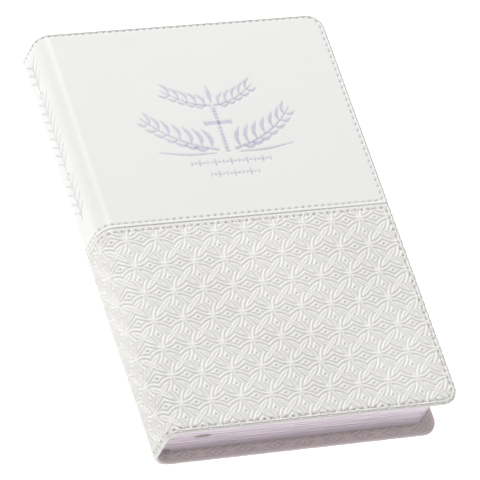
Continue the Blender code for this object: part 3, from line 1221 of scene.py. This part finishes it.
def pebble_group():
    """Fine pebbled grain of pressed leather."""
    name = "leather_pebbles"
    if name in bpy.data.node_groups:
        return bpy.data.node_groups[name]
    group, shader, source, target = start_group(
        name,
        [
            ("Place", "NodeSocketVector", None),
            ("Grain Scale", "NodeSocketFloat", 2600.0),
            ("Pore Share", "NodeSocketFloat", 0.35),
        ],
        [("Height", "NodeSocketFloat"), ("Patches", "NodeSocketFloat")],
    )
    place = source.outputs["Place"]
    cells = shader.add("ShaderNodeTexVoronoi", feature="SMOOTH_F1")
    cells.inputs["Smoothness"].default_value = 0.6
    shader.join(place, cells.inputs["Vector"])
    shader.join(source.outputs["Grain Scale"], cells.inputs["Scale"])
    pores = shader.noise(place, scale=5200.0, detail=2.0)
    pores = shader.math("MULTIPLY", pores, source.outputs["Pore Share"])
    height = shader.math("ADD", cells.outputs["Distance"], pores)
    patches = shader.noise(place, scale=55.0, detail=3.0)
    shader.join(height, target.inputs["Height"])
    shader.join(patches, target.inputs["Patches"])
    return group


def groove_shade_group():
    """Colour with painted shade in pressed grooves and needle holes, and a little random patchy
    tone.
    """
    name = "groove_tint"
    if name in bpy.data.node_groups:
        return bpy.data.node_groups[name]
    group, shader, source, target = start_group(
        name,
        [
            ("Colour", "NodeSocketColor", (0.8, 0.8, 0.8, 1.0)),
            ("Groove Colour", "NodeSocketColor", (0.6, 0.6, 0.6, 1.0)),
            ("Hole Colour", "NodeSocketColor", (0.2, 0.2, 0.2, 1.0)),
            ("Relief", "NodeSocketFloat", 0.0),
            ("Hole", "NodeSocketFloat", 0.0),
            ("Patches", "NodeSocketFloat", 0.5),
        ],
        [("Colour", "NodeSocketColor")],
    )
    groove_shade_gain = -1.3
    patch_share = 0.10
    hole_gain = 1.5
    hole_start = 0.42
    hole_edge = 1.25
    # Painted shade: the lower the relief, the more of the darker groove colour.
    depth = shader.math("MULTIPLY", source.outputs["Relief"], groove_shade_gain, clamp=True)
    patchy = shader.math("MULTIPLY", source.outputs["Patches"], patch_share)
    groove = shader.math("ADD", depth, patchy, clamp=True)
    colour = shader.mix(groove, source.outputs["Colour"], source.outputs["Groove Colour"])
    # Painted shade in the needle holes.
    hole = shader.math("MULTIPLY", source.outputs["Hole"], hole_gain)
    hole = shader.math("SUBTRACT", hole, hole_start, clamp=True)
    hole = shader.math("MULTIPLY", hole, hole_edge, clamp=True)
    colour = shader.mix(hole, colour, source.outputs["Hole Colour"])
    shader.join(colour, target.inputs["Colour"])
    return group


def paper_group():
    """Soft fibres and faint mottling of paper, card and cloth."""
    name = "paper_fibres"
    if name in bpy.data.node_groups:
        return bpy.data.node_groups[name]
    group, shader, source, target = start_group(
        name,
        [
            ("Place", "NodeSocketVector", None),
            ("Colour", "NodeSocketColor", (0.8, 0.8, 0.8, 1.0)),
            ("Shade", "NodeSocketColor", (0.7, 0.7, 0.7, 1.0)),
            ("Fibre Scale", "NodeSocketFloat", 900.0),
        ],
        [("Colour", "NodeSocketColor"), ("Height", "NodeSocketFloat")],
    )
    along_book = (1.0, 0.25, 1.0)
    shade_share = 0.9
    stretched = shader.stretched(source.outputs["Place"], along_book)
    fibres = shader.add("ShaderNodeTexNoise")
    fibres.inputs["Detail"].default_value = 4.0
    shader.join(stretched, fibres.inputs["Vector"])
    shader.join(source.outputs["Fibre Scale"], fibres.inputs["Scale"])
    mottle = shader.noise(source.outputs["Place"], scale=70.0, detail=3.0)
    share = shader.math("MULTIPLY", fibres.outputs["Fac"], mottle)
    share = shader.math("MULTIPLY", share, shade_share, clamp=True)
    colour = shader.mix(share, source.outputs["Colour"], source.outputs["Shade"])
    shader.join(colour, target.inputs["Colour"])
    shader.join(fibres.outputs["Fac"], target.inputs["Height"])
    return group


def start_material(name, roughness, metallic=0.0):
    """A new material, its helper and its shader."""
    material = bpy.data.materials.new(name)
    material.use_nodes = True
    shader = Shader(material.node_tree)
    principled = material.node_tree.nodes["Principled BSDF"]
    principled.inputs["Roughness"].default_value = roughness
    principled.inputs["Metallic"].default_value = metallic
    return material, shader, principled


def attribute(shader, name):
    """A node that reads one of the mesh's own attributes."""
    return shader.add("ShaderNodeAttribute", attribute_name=name)


def add_bump(shader, principled, height, strength, distance):
    """Fine relief for the light from a height."""
    bump = shader.add("ShaderNodeBump")
    bump.inputs["Strength"].default_value = strength
    bump.inputs["Distance"].default_value = distance
    shader.join(height, bump.inputs["Height"])
    shader.join(bump.outputs["Normal"], principled.inputs["Normal"])


def leather_material(name, colour, groove_shade_scale, grain_scale, roughness, bump_strength):
    """White leather with pebbled grain, painted shade in its grooves and needle holes, and painted
    shade with painted mauve light from the gilded edges where it is turned in.
    """
    if name in bpy.data.materials:
        return bpy.data.materials[name]
    cover = bpy.context.scene.bible_cover
    material, shader, principled = start_material(name, roughness)
    rest = attribute(shader, "rest")
    grain = shader.add("ShaderNodeGroup", node_tree=pebble_group())
    shader.join(rest.outputs["Vector"], grain.inputs["Place"])
    grain.inputs["Grain Scale"].default_value = grain_scale
    tint = shader.add("ShaderNodeGroup", node_tree=groove_shade_group())
    tint.inputs["Colour"].default_value = rgba(colour)
    # Painted shade: darker copies of the leather's colour for its grooves and needle holes.
    tint.inputs["Groove Colour"].default_value = rgba(colour, groove_shade_scale)
    tint.inputs["Hole Colour"].default_value = rgba(cover.hole_shade_colour)
    shader.join(attribute(shader, "relief").outputs["Fac"], tint.inputs["Relief"])
    shader.join(attribute(shader, "hollow").outputs["Fac"], tint.inputs["Hole"])
    shader.join(grain.outputs["Patches"], tint.inputs["Patches"])
    # Painted shade, with painted mauve light from the gilded edges, where the embossed leather is
    # turned in.
    dull = shader.mix(
        attribute(shader, "dull").outputs["Fac"], (1.0, 1.0, 1.0, 1.0), rgba(cover.turn_in_shade_tint)
    )
    shown = shader.mix(1.0, tint.outputs["Colour"], dull, blend_type="MULTIPLY")
    shader.join(shown, principled.inputs["Base Color"])
    rough_range = 0.16
    rough = shader.math("MULTIPLY", grain.outputs["Patches"], rough_range)
    rough = shader.math("ADD", rough, roughness - rough_range / 2)
    shader.join(rough, principled.inputs["Roughness"])
    principled.inputs["Specular IOR Level"].default_value = 0.35
    add_bump(shader, principled, grain.outputs["Height"], bump_strength, distance=0.00006)
    return material


def smooth_leather():
    """The finish of the smooth panels."""
    cover = bpy.context.scene.bible_cover
    return leather_material(
        "smooth_grain",
        cover.smooth_colour,
        groove_shade_scale=0.76,
        grain_scale=2400.0,
        roughness=0.46,
        bump_strength=0.22,
    )


def embossed_leather():
    """The finish of the embossed panels."""
    cover = bpy.context.scene.bible_cover
    return leather_material(
        "embossed_grain",
        cover.embossed_colour,
        groove_shade_scale=0.83,
        grain_scale=3000.0,
        roughness=0.42,
        bump_strength=0.18,
    )


def thread_material():
    """Twisted thread."""
    name = "sewing_thread"
    if name in bpy.data.materials:
        return bpy.data.materials[name]
    cover = bpy.context.scene.bible_cover
    material, shader, principled = start_material(name, roughness=0.6)
    rest = attribute(shader, "rest")
    parts = shader.parts(rest.outputs["Vector"])
    twist = shader.math("MULTIPLY", parts["X"], 5.0)
    twist = shader.math("ADD", twist, parts["Y"])
    twist = shader.math("MULTIPLY", twist, 2 * math.pi)
    twist = shader.math("SINE", twist)
    share = shader.math("MULTIPLY_ADD", twist, 0.25, 0.35)
    colour = shader.mix(share, rgba(cover.thread_colour), rgba(cover.thread_colour, 0.78))
    shader.join(colour, principled.inputs["Base Color"])
    add_bump(shader, principled, twist, strength=0.5, distance=0.00005)
    return material


def foil_material():
    """Pressed metal foil with fine scuffs."""
    name = "pressed_foil"
    if name in bpy.data.materials:
        return bpy.data.materials[name]
    cover = bpy.context.scene.bible_cover
    material, shader, principled = start_material(name, roughness=0.38, metallic=0.55)
    rest = attribute(shader, "rest")
    scuffs = shader.noise(rest.outputs["Vector"], scale=900.0, detail=4.0)
    broad = shader.noise(rest.outputs["Vector"], scale=90.0, detail=2.0)
    share = shader.math("MULTIPLY", scuffs, broad)
    colour = shader.mix(share, rgba(cover.foil_colour), rgba(cover.foil_colour, 1.35))
    shader.join(colour, principled.inputs["Base Color"])
    rough = shader.math("MULTIPLY_ADD", scuffs, 0.3, 0.24)
    shader.join(rough, principled.inputs["Roughness"])
    add_bump(shader, principled, scuffs, strength=0.15, distance=0.00003)
    return material


def gilt_material():
    """Silvered page edges with fine streaks along the leaves."""
    name = "gilded_edges"
    if name in bpy.data.materials:
        return bpy.data.materials[name]
    pages = bpy.context.scene.bible_pages
    material, shader, principled = start_material(name, roughness=0.5, metallic=0.85)
    rest = attribute(shader, "rest")
    long_streaks = shader.stretched(rest.outputs["Vector"], (28.0, 28.0, 7000.0))
    fine = shader.noise(long_streaks, scale=1.0, detail=4.0, roughness=0.6)
    wide_streaks = shader.stretched(rest.outputs["Vector"], (9.0, 9.0, 900.0))
    wide = shader.noise(wide_streaks, scale=1.0, detail=2.0)
    share = shader.math("MULTIPLY", fine, wide)
    contrast = 2.2
    share = shader.math("MULTIPLY", share, contrast, clamp=True)
    colour = shader.mix(
        share, rgba(pages.gilt_colour, 0.80), rgba(pages.gilt_colour, 1.18)
    )
    shader.join(colour, principled.inputs["Base Color"])
    rough = shader.math("MULTIPLY_ADD", fine, 0.2, 0.2)
    shader.join(rough, principled.inputs["Roughness"])
    add_bump(shader, principled, fine, strength=0.35, distance=0.00004)
    return material


def print_group():
    """Two columns of even grey lines, as close print looks from a distance."""
    name = "printed_columns"
    if name in bpy.data.node_groups:
        return bpy.data.node_groups[name]
    group, shader, source, target = start_group(
        name,
        [("Place", "NodeSocketVector", None), ("Line Pitch", "NodeSocketFloat", 0.0031)],
        [("Ink", "NodeSocketFloat")],
    )
    parts = shader.parts(source.outputs["Place"])
    line = shader.math("DIVIDE", parts["Y"], source.outputs["Line Pitch"])
    line_number = shader.math("FLOOR", line)
    within = shader.math("FRACT", line)
    line_height = 0.52
    masks = [shader.math("LESS_THAN", within, line_height)]
    for bars, row, row_rate, ink_from in (
        (420.0, line_number, 7.3, 0.40),
        (2300.0, line, 9.0, 0.46),
    ):
        spread = shader.add("ShaderNodeCombineXYZ")
        shader.join(shader.math("MULTIPLY", parts["X"], bars), spread.inputs["X"])
        shader.join(shader.math("MULTIPLY", row, row_rate), spread.inputs["Y"])
        gaps = shader.noise(spread.outputs[0], scale=1.0, detail=1.0)
        masks.append(shader.math("GREATER_THAN", gaps, ink_from))
    middle = SPINE_X + BOOK_WIDTH * 0.515
    gutter = 0.0030
    column_end = 0.0520
    half_height = 0.0860
    from_middle = shader.math("ABSOLUTE", shader.math("SUBTRACT", parts["X"], middle))
    masks.append(shader.math("GREATER_THAN", from_middle, gutter))
    masks.append(shader.math("LESS_THAN", from_middle, column_end))
    up = shader.math("ABSOLUTE", parts["Y"])
    masks.append(shader.math("LESS_THAN", up, half_height))
    ink = masks[0]
    for mask in masks[1:]:
        ink = shader.math("MULTIPLY", ink, mask)
    shader.join(ink, target.inputs["Ink"])
    return group


def paper_material(name, colour, roughness, printed=False):
    """Paper, plain or printed."""
    if name in bpy.data.materials:
        return bpy.data.materials[name]
    material, shader, principled = start_material(name, roughness)
    rest = attribute(shader, "rest")
    fibres = shader.add("ShaderNodeGroup", node_tree=paper_group())
    shader.join(rest.outputs["Vector"], fibres.inputs["Place"])
    fibres.inputs["Colour"].default_value = rgba(colour)
    fibres.inputs["Shade"].default_value = rgba(colour, 0.86)
    shown = fibres.outputs["Colour"]
    if printed:
        print_lines = shader.add("ShaderNodeGroup", node_tree=print_group())
        shader.join(rest.outputs["Vector"], print_lines.inputs["Place"])
        ink_strength = 0.62
        ink_colour = (0.09, 0.09, 0.10, 1.0)
        share = shader.math("MULTIPLY", print_lines.outputs["Ink"], ink_strength)
        shown = shader.mix(share, shown, ink_colour)
    shader.join(shown, principled.inputs["Base Color"])
    add_bump(shader, principled, fibres.outputs["Height"], strength=0.2, distance=0.00005)
    return material


def plain_place_material(
    name, colour, shade, roughness, fibre_scale, weave=0.0, end_colour=None
):
    """Card or cloth on a carried-over part, whose places come from its own shape."""
    material, shader, principled = start_material(name, roughness)
    coordinates = shader.add("ShaderNodeTexCoord")
    place = coordinates.outputs["Object"]
    fibres = shader.add("ShaderNodeGroup", node_tree=paper_group())
    shader.join(place, fibres.inputs["Place"])
    fibres.inputs["Colour"].default_value = rgba(colour)
    fibres.inputs["Shade"].default_value = rgba(colour, shade)
    fibres.inputs["Fibre Scale"].default_value = fibre_scale
    height = fibres.outputs["Height"]
    shown = fibres.outputs["Colour"]
    if weave:
        parts = shader.parts(place)
        up = shader.math("SINE", shader.math("MULTIPLY", parts["Z"], weave))
        along = shader.math("SINE", shader.math("MULTIPLY", parts["Y"], weave))
        threads = shader.math("MULTIPLY", up, along)
        height = shader.math("ADD", height, threads)
        share = shader.math("MULTIPLY_ADD", threads, 0.2, 0.2, clamp=True)
        shown = shader.mix(share, shown, rgba(colour, shade * 0.8))
    if end_colour is not None:
        facing = shader.parts(shader.add("ShaderNodeNewGeometry").outputs["Normal"])
        along_book = shader.math("ABSOLUTE", facing["Y"])
        mostly = 0.7
        at_end = shader.math("GREATER_THAN", along_book, mostly)
        shown = shader.mix(at_end, shown, rgba(end_colour, 0.85))
    shader.join(shown, principled.inputs["Base Color"])
    add_bump(shader, principled, height, strength=0.35, distance=0.00008)
    return material


def ribbon_material():
    """Satin with fine cross ribs."""
    name = "satin_ribbon"
    if name in bpy.data.materials:
        return bpy.data.materials[name]
    pages = bpy.context.scene.bible_pages
    material, shader, principled = start_material(name, roughness=0.38)
    rest = attribute(shader, "rest")
    parts = shader.parts(rest.outputs["Vector"])
    rib_rate = 16000.0
    warp_rate = 21000.0
    warp_share = 0.3
    ribs = shader.math("SINE", shader.math("MULTIPLY", parts["Y"], rib_rate))
    warp = shader.math("SINE", shader.math("MULTIPLY", parts["X"], warp_rate))
    weave = shader.math("MULTIPLY_ADD", warp, warp_share, ribs)
    share = shader.math("MULTIPLY_ADD", weave, 0.15, 0.3, clamp=True)
    colour = shader.mix(share, rgba(pages.ribbon_colour), rgba(pages.ribbon_colour, 0.75))
    shader.join(colour, principled.inputs["Base Color"])
    principled.inputs["Sheen Weight"].default_value = 0.3
    principled.inputs["Anisotropic"].default_value = 0.4
    add_bump(shader, principled, weave, strength=0.4, distance=0.00004)
    return material


def dress(made, material):
    """Gives a piece its material."""
    made.data.materials.append(material)
    return made


# ---------------------------------------------------------------- operators


class BIBLE_OT_smooth_leather(bpy.types.Operator):
    """Builds the smooth leather of the covers and the spine."""

    bl_idname = "bible.smooth_leather"
    bl_label = "Smooth leather"

    def execute(self, context):
        recess_depth = 0.00016
        recess_spread = 0.00028
        sprig_depth = 0.00030
        sprig_spread = 0.00004
        for name, profile in (("front_smooth_leather", FRONT), ("back_smooth_leather", BACK)):
            along, out = smooth_places(profile)
            panel = LeatherPanel(name, profile, False, along, out)
            marks = stroke_marks(spine_ornament(profile), sprig_depth, sprig_spread)
            if profile is FRONT:
                marks += stroke_marks(front_ornament(), recess_depth, recess_spread)
            made = build_leather(panel, marks)
            dress(made, smooth_leather())
            bend_with_cover(made, profile)
            if profile is FRONT:
                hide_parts("front_smooth_panel", "spine_smooth_panel")
            else:
                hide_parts("back_smooth_panel")
        return {"FINISHED"}


class BIBLE_OT_embossed_leather(bpy.types.Operator):
    """Builds the embossed leather of the covers and the spine."""

    bl_idname = "bible.embossed_leather"
    bl_label = "Embossed leather"

    def execute(self, context):
        cover = context.scene.bible_cover
        for name, profile, step in (
            ("front_embossed_leather", FRONT, cover.emboss_step),
            ("back_embossed_leather", BACK, cover.back_step),
        ):
            along, out = embossed_places(profile, step)
            panel = LeatherPanel(name, profile, True, along, out)
            made = build_leather(panel, [])
            dress(made, embossed_leather())
            bend_with_cover(made, profile)
            if profile is FRONT:
                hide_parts("front_embossed_panel", "spine_embossed_panel")
            else:
                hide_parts("back_embossed_panel")
        return {"FINISHED"}


class BIBLE_OT_sewing(bpy.types.Operator):
    """Sews the edge rows and seam rows of each panel."""

    bl_idname = "bible.sewing"
    bl_label = "Sewing"

    def execute(self, context):
        for side, profile in (("front", FRONT), ("back", BACK)):
            for finish, embossed in (("smooth", False), ("embossed", True)):
                name = f"{side}_{finish}_sewing"
                panel = LeatherPanel(name, profile, embossed, np.zeros(1), np.zeros(1))
                made = thread_along(name, panel)
                dress(made, thread_material())
                bend_with_cover(made, profile)
                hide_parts(f"{side}_{finish}_thread")
        return {"FINISHED"}


class BIBLE_OT_foil(bpy.types.Operator):
    """Lays the foil ornament in its hollow on the front."""

    bl_idname = "bible.foil"
    bl_label = "Foil ornament"

    def execute(self, context):
        panel = LeatherPanel("foil", FRONT, False, np.zeros(1), np.zeros(1))
        level = -0.00002
        thickness = 0.00014
        made = foil_strips("foil_ornament", panel, front_ornament(), level, thickness)
        made.data.materials.append(foil_material())
        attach(made, "front_cover")
        return {"FINISHED"}


class BIBLE_OT_leaves(bpy.types.Operator):
    """Builds the signatures; the turning ones stay unattached and the rest go with the text block.
    """

    bl_idname = "bible.leaves"
    bl_label = "Leaves"

    def execute(self, context):
        pages = context.scene.bible_pages
        random = np.random.default_rng(RANDOM_SEED)
        names = sorted(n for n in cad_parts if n.startswith("signature_"))
        close_gap = 0.00014
        corner = 0.0065
        turning = 5
        bend_reach = 0.016
        bend_step = 0.0009
        rise_reach = 0.034
        rise_step = 0.0012
        ribbon_low, ribbon_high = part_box("ribbon_marker")
        ribbon_z = (ribbon_low.z + ribbon_high.z) / 2
        line_gap = 0.00005
        for number, node in enumerate(names, start=1):
            low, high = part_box(node)
            low = Vector((low.x, low.y, low.z - close_gap))
            high = Vector((high.x, high.y, high.z + close_gap))
            if number == ABOVE_RIBBON:
                low.z = ribbon_z + line_gap
            if number == BELOW_RIBBON:
                high.z = ribbon_z - line_gap
            steps = [(low.x, 0), (low.x + bend_reach, bend_step), (low.x + rise_reach, rise_step)]
            made = layered_stack(
                f"leaves_{number:02d}",
                low,
                high,
                corner,
                steps,
                pages.sheets,
                pages.unevenness,
                random,
            )
            open_for_ribbon(made, number)
            paper = paper_material("printed_paper", pages.paper_colour, roughness=0.75, printed=True)
            made.data.materials.append(paper)
            made.data.materials.append(gilt_material())
            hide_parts(node)
            if number <= turning:
                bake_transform(made)
            else:
                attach(made, "text_block")
        return {"FINISHED"}


def open_for_ribbon(made, number):
    """Lifts or lowers the leaves round the ribbon at the tail."""
    sign = {ABOVE_RIBBON: 1.0, BELOW_RIBBON: -1.0}.get(number)
    if sign is None:
        return
    tail_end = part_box("ribbon_marker")[0].y
    middle_x = ribbon_middle_at_tail()
    gap = 0.00105
    crack = 0.00016
    crack_length = 0.0120
    gap_radius = 0.0038
    gap_depth = 0.03
    points = np.array([v.co for v in made.data.vertices])
    beyond = points[:, 0] - middle_x
    near = np.exp(-((beyond / gap_radius) ** 4))
    trail = np.where(beyond > 0, np.exp(-beyond / crack_length), near) * crack / gap
    near = np.maximum(near, trail)
    tail = smooth_rise(-points[:, 1], -tail_end - gap_depth, -tail_end)
    bottom = points[:, 2].min()
    top = points[:, 2].max()
    share = (top - points[:, 2]) / (top - bottom)
    if sign < 0:
        share = 1 - share
    points[:, 2] += sign * gap * near * tail * share
    made.data.vertices.foreach_set("co", points.astype(np.float32).ravel())


def ribbon_middle_at_tail():
    """Where the ribbon's middle lies across the leaves at the tail."""
    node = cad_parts["ribbon_marker"]
    points = np.array([v.co for v in node.data.vertices])
    end_reach = 0.001
    end = points[points[:, 1] < points[:, 1].min() + end_reach]
    return float((end[:, 0].min() + end[:, 0].max()) / 2)


class BIBLE_OT_endpapers(bpy.types.Operator):
    """Builds the two free endpapers."""

    bl_idname = "bible.endpapers"
    bl_label = "Endpapers"

    def execute(self, context):
        pages = context.scene.bible_pages
        paper = paper_material("endpaper_stock", pages.endpaper_colour, roughness=0.7)
        corner = 0.0065
        ripple = 0.00003
        fold_reach = 0.02
        fold_step = 0.002
        for side in ("front", "rear"):
            low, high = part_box(f"{side}_endpaper")
            steps = [(low.x, 0), (low.x + fold_reach, fold_step)]
            made = paper_sheet(f"{side}_endpaper_sheet", low, high, corner, steps, ripple)
            dress(made, paper)
            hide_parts(f"{side}_endpaper")
            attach(made, f"{side}_endpaper")
        return {"FINISHED"}


class BIBLE_OT_liners(bpy.types.Operator):
    """Builds the liners pasted over the turned-in leather."""

    bl_idname = "bible.liners"
    bl_label = "Liners"

    def execute(self, context):
        pages = context.scene.bible_pages
        paper = paper_material("liner_stock", pages.endpaper_colour, roughness=0.65)
        overlap = 0.0016
        hinge_overlap = 0.0035
        fold_reach = 0.02
        fold_step = 0.004
        proud = 0.00012
        sheet = 0.00014
        corner = 0.0060
        for side in ("front", "back"):
            low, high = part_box(f"{side}_liner")
            level = low.z if side == "front" else high.z
            step = -proud if side == "front" else proud
            bottom = min(level + step, level + step + math.copysign(sheet, step))
            top = bottom + sheet
            low = Vector((low.x - hinge_overlap, low.y - overlap, bottom))
            high = Vector((high.x + overlap, high.y + overlap, top))
            steps = [(low.x, 0), (low.x + fold_reach, fold_step)]
            made = paper_sheet(f"{side}_liner_sheet", low, high, corner, steps, ripple=0.0)
            dress(made, paper)
            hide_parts(f"{side}_liner")
            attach(made, f"{side}_cover")
        return {"FINISHED"}


class BIBLE_OT_ribbon(bpy.types.Operator):
    """Builds the satin ribbon between two signatures."""

    bl_idname = "bible.ribbon"
    bl_label = "Ribbon"

    def execute(self, context):
        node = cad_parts["ribbon_marker"]
        points = np.array([v.co for v in node.data.vertices])
        low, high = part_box("ribbon_marker")
        rows = 160
        columns = 9
        end_reach = 0.0015
        ends = []
        for edge in (low.y, high.y):
            near = points[np.abs(points[:, 1] - edge) < end_reach]
            ends.append((near[:, 0].min(), near[:, 0].max()))
        share = np.linspace(0, 1, rows)
        left = ends[0][0] + (ends[1][0] - ends[0][0]) * share
        right = ends[0][1] + (ends[1][1] - ends[0][1]) * share
        cross = np.linspace(0, 1, columns)
        x = left[:, None] + (right - left)[:, None] * cross[None, :]
        y = np.repeat((low.y + (high.y - low.y) * share)[:, None], columns, 1)
        from_middle = np.abs(cross - 0.5)
        fish_tail = 0.0018
        y[0] = y[0] + fish_tail * (1 - from_middle * 2)
        satin_half = 0.00009
        selvage = 0.00003
        selvage_start = 0.45
        half = satin_half + selvage * (from_middle > selvage_start)
        wave_height = 0.00004
        wave_rate = 130.0
        level = (low.z + high.z) / 2 + wave_height * np.sin(y * wave_rate)
        top = np.stack([x, y, level + half], -1).reshape(-1, 3)
        bottom = np.stack([x, y, level - half], -1).reshape(-1, 3)
        size = x.size
        upper = np.arange(size).reshape(x.shape)
        lower = upper + size
        faces = grid_faces(upper, True) + grid_faces(lower)
        rim = rim_of(upper)
        faces += grid_faces(np.array([rim, rim + size]))
        made = new_mesh("satin_ribbon", np.concatenate([top, bottom]), faces)
        add_rest(made, np.concatenate([top, bottom]))
        dress(made, ribbon_material())
        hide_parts("ribbon_marker")
        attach(made, "text_block")
        return {"FINISHED"}


class BIBLE_OT_inner_parts(bpy.types.Operator):
    """Gives the boards, the spine lining and the sewn folds their finishes."""

    bl_idname = "bible.inner_parts"
    bl_label = "Boards and lining"

    def execute(self, context):
        pages = context.scene.bible_pages
        board_colour = (0.42, 0.39, 0.35)
        cloth_colour = (0.78, 0.75, 0.68)
        board = plain_place_material(
            "grey_board", board_colour, shade=0.7, roughness=0.85, fibre_scale=1400.0
        )
        mull = plain_place_material(
            "lining_cloth", cloth_colour, shade=0.8, roughness=0.8, fibre_scale=1600.0, weave=5200.0
        )
        folds = plain_place_material(
            "sewn_folds",
            pages.paper_colour[:],
            shade=0.82,
            roughness=0.75,
            fibre_scale=900.0,
            end_colour=pages.gilt_colour[:],
        )
        finishes = {
            "front_board": board,
            "back_board": board,
            "spine_stiffener": board,
            "spine_mull": mull,
            "front_sewn_folds": folds,
        }
        for name, material in finishes.items():
            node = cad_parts[name]
            node.data.materials.clear()
            node.data.materials.append(material)
        return {"FINISHED"}


class BIBLE_OT_stage(bpy.types.Operator):
    """Makes the floor, the lights and the camera."""

    bl_idname = "bible.stage"
    bl_label = "Stage"

    def execute(self, context):
        make_floor(context)
        make_camera(context)
        make_lights(context)
        return {"FINISHED"}


def make_floor(context):
    """A wide pale floor that reads as even white."""
    stage = context.scene.bible_stage
    reach = 6.0
    steps = 9
    places = np.linspace(-reach, reach, steps)
    x, y = np.meshgrid(places, places, indexing="ij")
    clearance = 0.0001
    z = np.full_like(x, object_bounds()[0].z - clearance)
    numbers = np.arange(x.size).reshape(x.shape)
    floor = new_mesh("studio_floor", np.stack([x, y, z], -1).reshape(-1, 3), grid_faces(numbers))
    material, shader, principled = start_material("pale_floor", roughness=0.9)
    place = shader.add("ShaderNodeTexCoord").outputs["Object"]
    mottle = shader.noise(place, scale=3.0, detail=2.0)
    colour = shader.mix(mottle, rgba(stage.floor_colour), rgba(stage.floor_colour, 0.98))
    shader.join(colour, principled.inputs["Base Color"])
    path = shader.add("ShaderNodeLightPath")
    glow_on_book = (0.58, 0.57, 0.575, 1.0)
    white = (1.0, 1.0, 1.0, 1.0)
    glow = shader.mix(path.outputs["Is Camera Ray"], glow_on_book, white)
    shader.join(glow, principled.inputs["Emission Color"])
    principled.inputs["Emission Strength"].default_value = 1.1
    principled.inputs["Specular IOR Level"].default_value = 0.1
    floor.data.materials.append(material)
    floor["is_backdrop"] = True


def make_camera(context):
    """The camera, turned and rolled as a hand-held view from the spine's tail end."""
    azimuth = math.radians(-43.19)
    elevation = math.radians(51.6)
    roll = math.radians(30.97)
    distance = 2.42868
    target = Vector((0.00847, 0.00529, 0.0))
    data = bpy.data.cameras.new("camera")
    data.sensor_width = 36.0
    data.lens = 405.84
    data.clip_start = 0.1
    data.clip_end = 50.0
    camera = bpy.data.objects.new("camera", data)
    context.scene.collection.objects.link(camera)
    back = Vector(
        (
            math.sin(azimuth) * math.cos(elevation),
            -math.cos(azimuth) * math.cos(elevation),
            math.sin(elevation),
        )
    )
    right = (-back).cross(Vector((0, 0, 1))).normalized()
    up = right.cross(-back)
    turned_right = right * math.cos(roll) + up * math.sin(roll)
    turned_up = up * math.cos(roll) - right * math.sin(roll)
    pose = Matrix((turned_right, turned_up, back)).transposed().to_4x4()
    pose.translation = target + back * distance
    camera.matrix_world = pose
    context.scene.camera = camera


def area_light(context, name, place, size, power, colour):
    """A square soft light that faces the book."""
    data = bpy.data.lights.new(name, "AREA")
    data.size = size
    data.energy = power
    data.color = colour
    light = bpy.data.objects.new(name, data)
    context.scene.collection.objects.link(light)
    light.location = place
    light.rotation_euler = (-place).to_track_quat("-Z", "Y").to_euler()


def make_lights(context):
    """A large soft light above the head end, a weak one at the tail and an even sky."""
    stage = context.scene.bible_stage
    key_distance = 2.5
    key_place = Vector((-0.14, 0.92, 1.10)).normalized() * key_distance
    key_colour = (1.0, 0.995, 0.985)
    area_light(context, "main_light", key_place, 1.15, stage.key_power, key_colour)
    fill_distance = 1.5
    fill_place = Vector((-0.15, -1.0, 0.30)).normalized() * fill_distance
    fill_colour = (1.0, 0.95, 0.98)
    area_light(context, "tail_light", fill_place, 0.9, stage.fill_power, fill_colour)
    world = bpy.data.worlds.new("studio_sky")
    world.use_nodes = True
    shader = Shader(world.node_tree)
    background = world.node_tree.nodes["Background"]
    background.inputs["Color"].default_value = (1.0, 0.985, 0.985, 1.0)
    background.inputs["Strength"].default_value = stage.sky_strength
    seen = shader.add("ShaderNodeBackground")
    seen.inputs["Color"].default_value = (1.0, 1.0, 1.0, 1.0)
    seen.inputs["Strength"].default_value = 1.0
    path = shader.add("ShaderNodeLightPath")
    both = shader.add("ShaderNodeMixShader")
    shader.join(path.outputs["Is Camera Ray"], both.inputs[0])
    shader.join(background.outputs[0], both.inputs[1])
    shader.join(seen.outputs[0], both.inputs[2])
    shader.join(both.outputs[0], world.node_tree.nodes["World Output"].inputs["Surface"])
    context.scene.world = world
    context.scene.view_settings.view_transform = "Standard"


class BIBLE_PT_pieces(bpy.types.Panel):
    """Lists the settings and the pieces."""

    bl_label = "Bible"
    bl_idname = "BIBLE_PT_pieces"
    bl_space_type = "VIEW_3D"
    bl_region_type = "UI"
    bl_category = "Bible"

    def draw(self, context):
        layout = self.layout
        for settings in (
            context.scene.bible_cover,
            context.scene.bible_pages,
            context.scene.bible_stage,
        ):
            box = layout.box()
            for name in settings.__annotations__:
                box.prop(settings, name)
        for operator in OPERATORS:
            layout.operator(operator.bl_idname)


OPERATORS = (
    BIBLE_OT_smooth_leather,
    BIBLE_OT_embossed_leather,
    BIBLE_OT_sewing,
    BIBLE_OT_foil,
    BIBLE_OT_leaves,
    BIBLE_OT_endpapers,
    BIBLE_OT_liners,
    BIBLE_OT_ribbon,
    BIBLE_OT_inner_parts,
    BIBLE_OT_stage,
)
SETTINGS = (BibleCoverSettings, BiblePagesSettings, BibleStageSettings)
CLASSES = SETTINGS + OPERATORS + (BIBLE_PT_pieces,)


def register():
    """Registers the classes and the scene's settings."""
    for made in CLASSES:
        bpy.utils.register_class(made)
    bpy.types.Scene.bible_cover = bpy.props.PointerProperty(type=BibleCoverSettings)
    bpy.types.Scene.bible_pages = bpy.props.PointerProperty(type=BiblePagesSettings)
    bpy.types.Scene.bible_stage = bpy.props.PointerProperty(type=BibleStageSettings)


def unregister():
    """Takes the classes and the scene's settings away again."""
    del bpy.types.Scene.bible_stage
    del bpy.types.Scene.bible_pages
    del bpy.types.Scene.bible_cover
    for made in reversed(CLASSES):
        bpy.utils.unregister_class(made)


def main():
    """Builds every piece in order."""
    register()
    for operator in OPERATORS:
        group, name = operator.bl_idname.split(".")
        getattr(getattr(bpy.ops, group), name)()


if __name__ == "__main__":
    main()
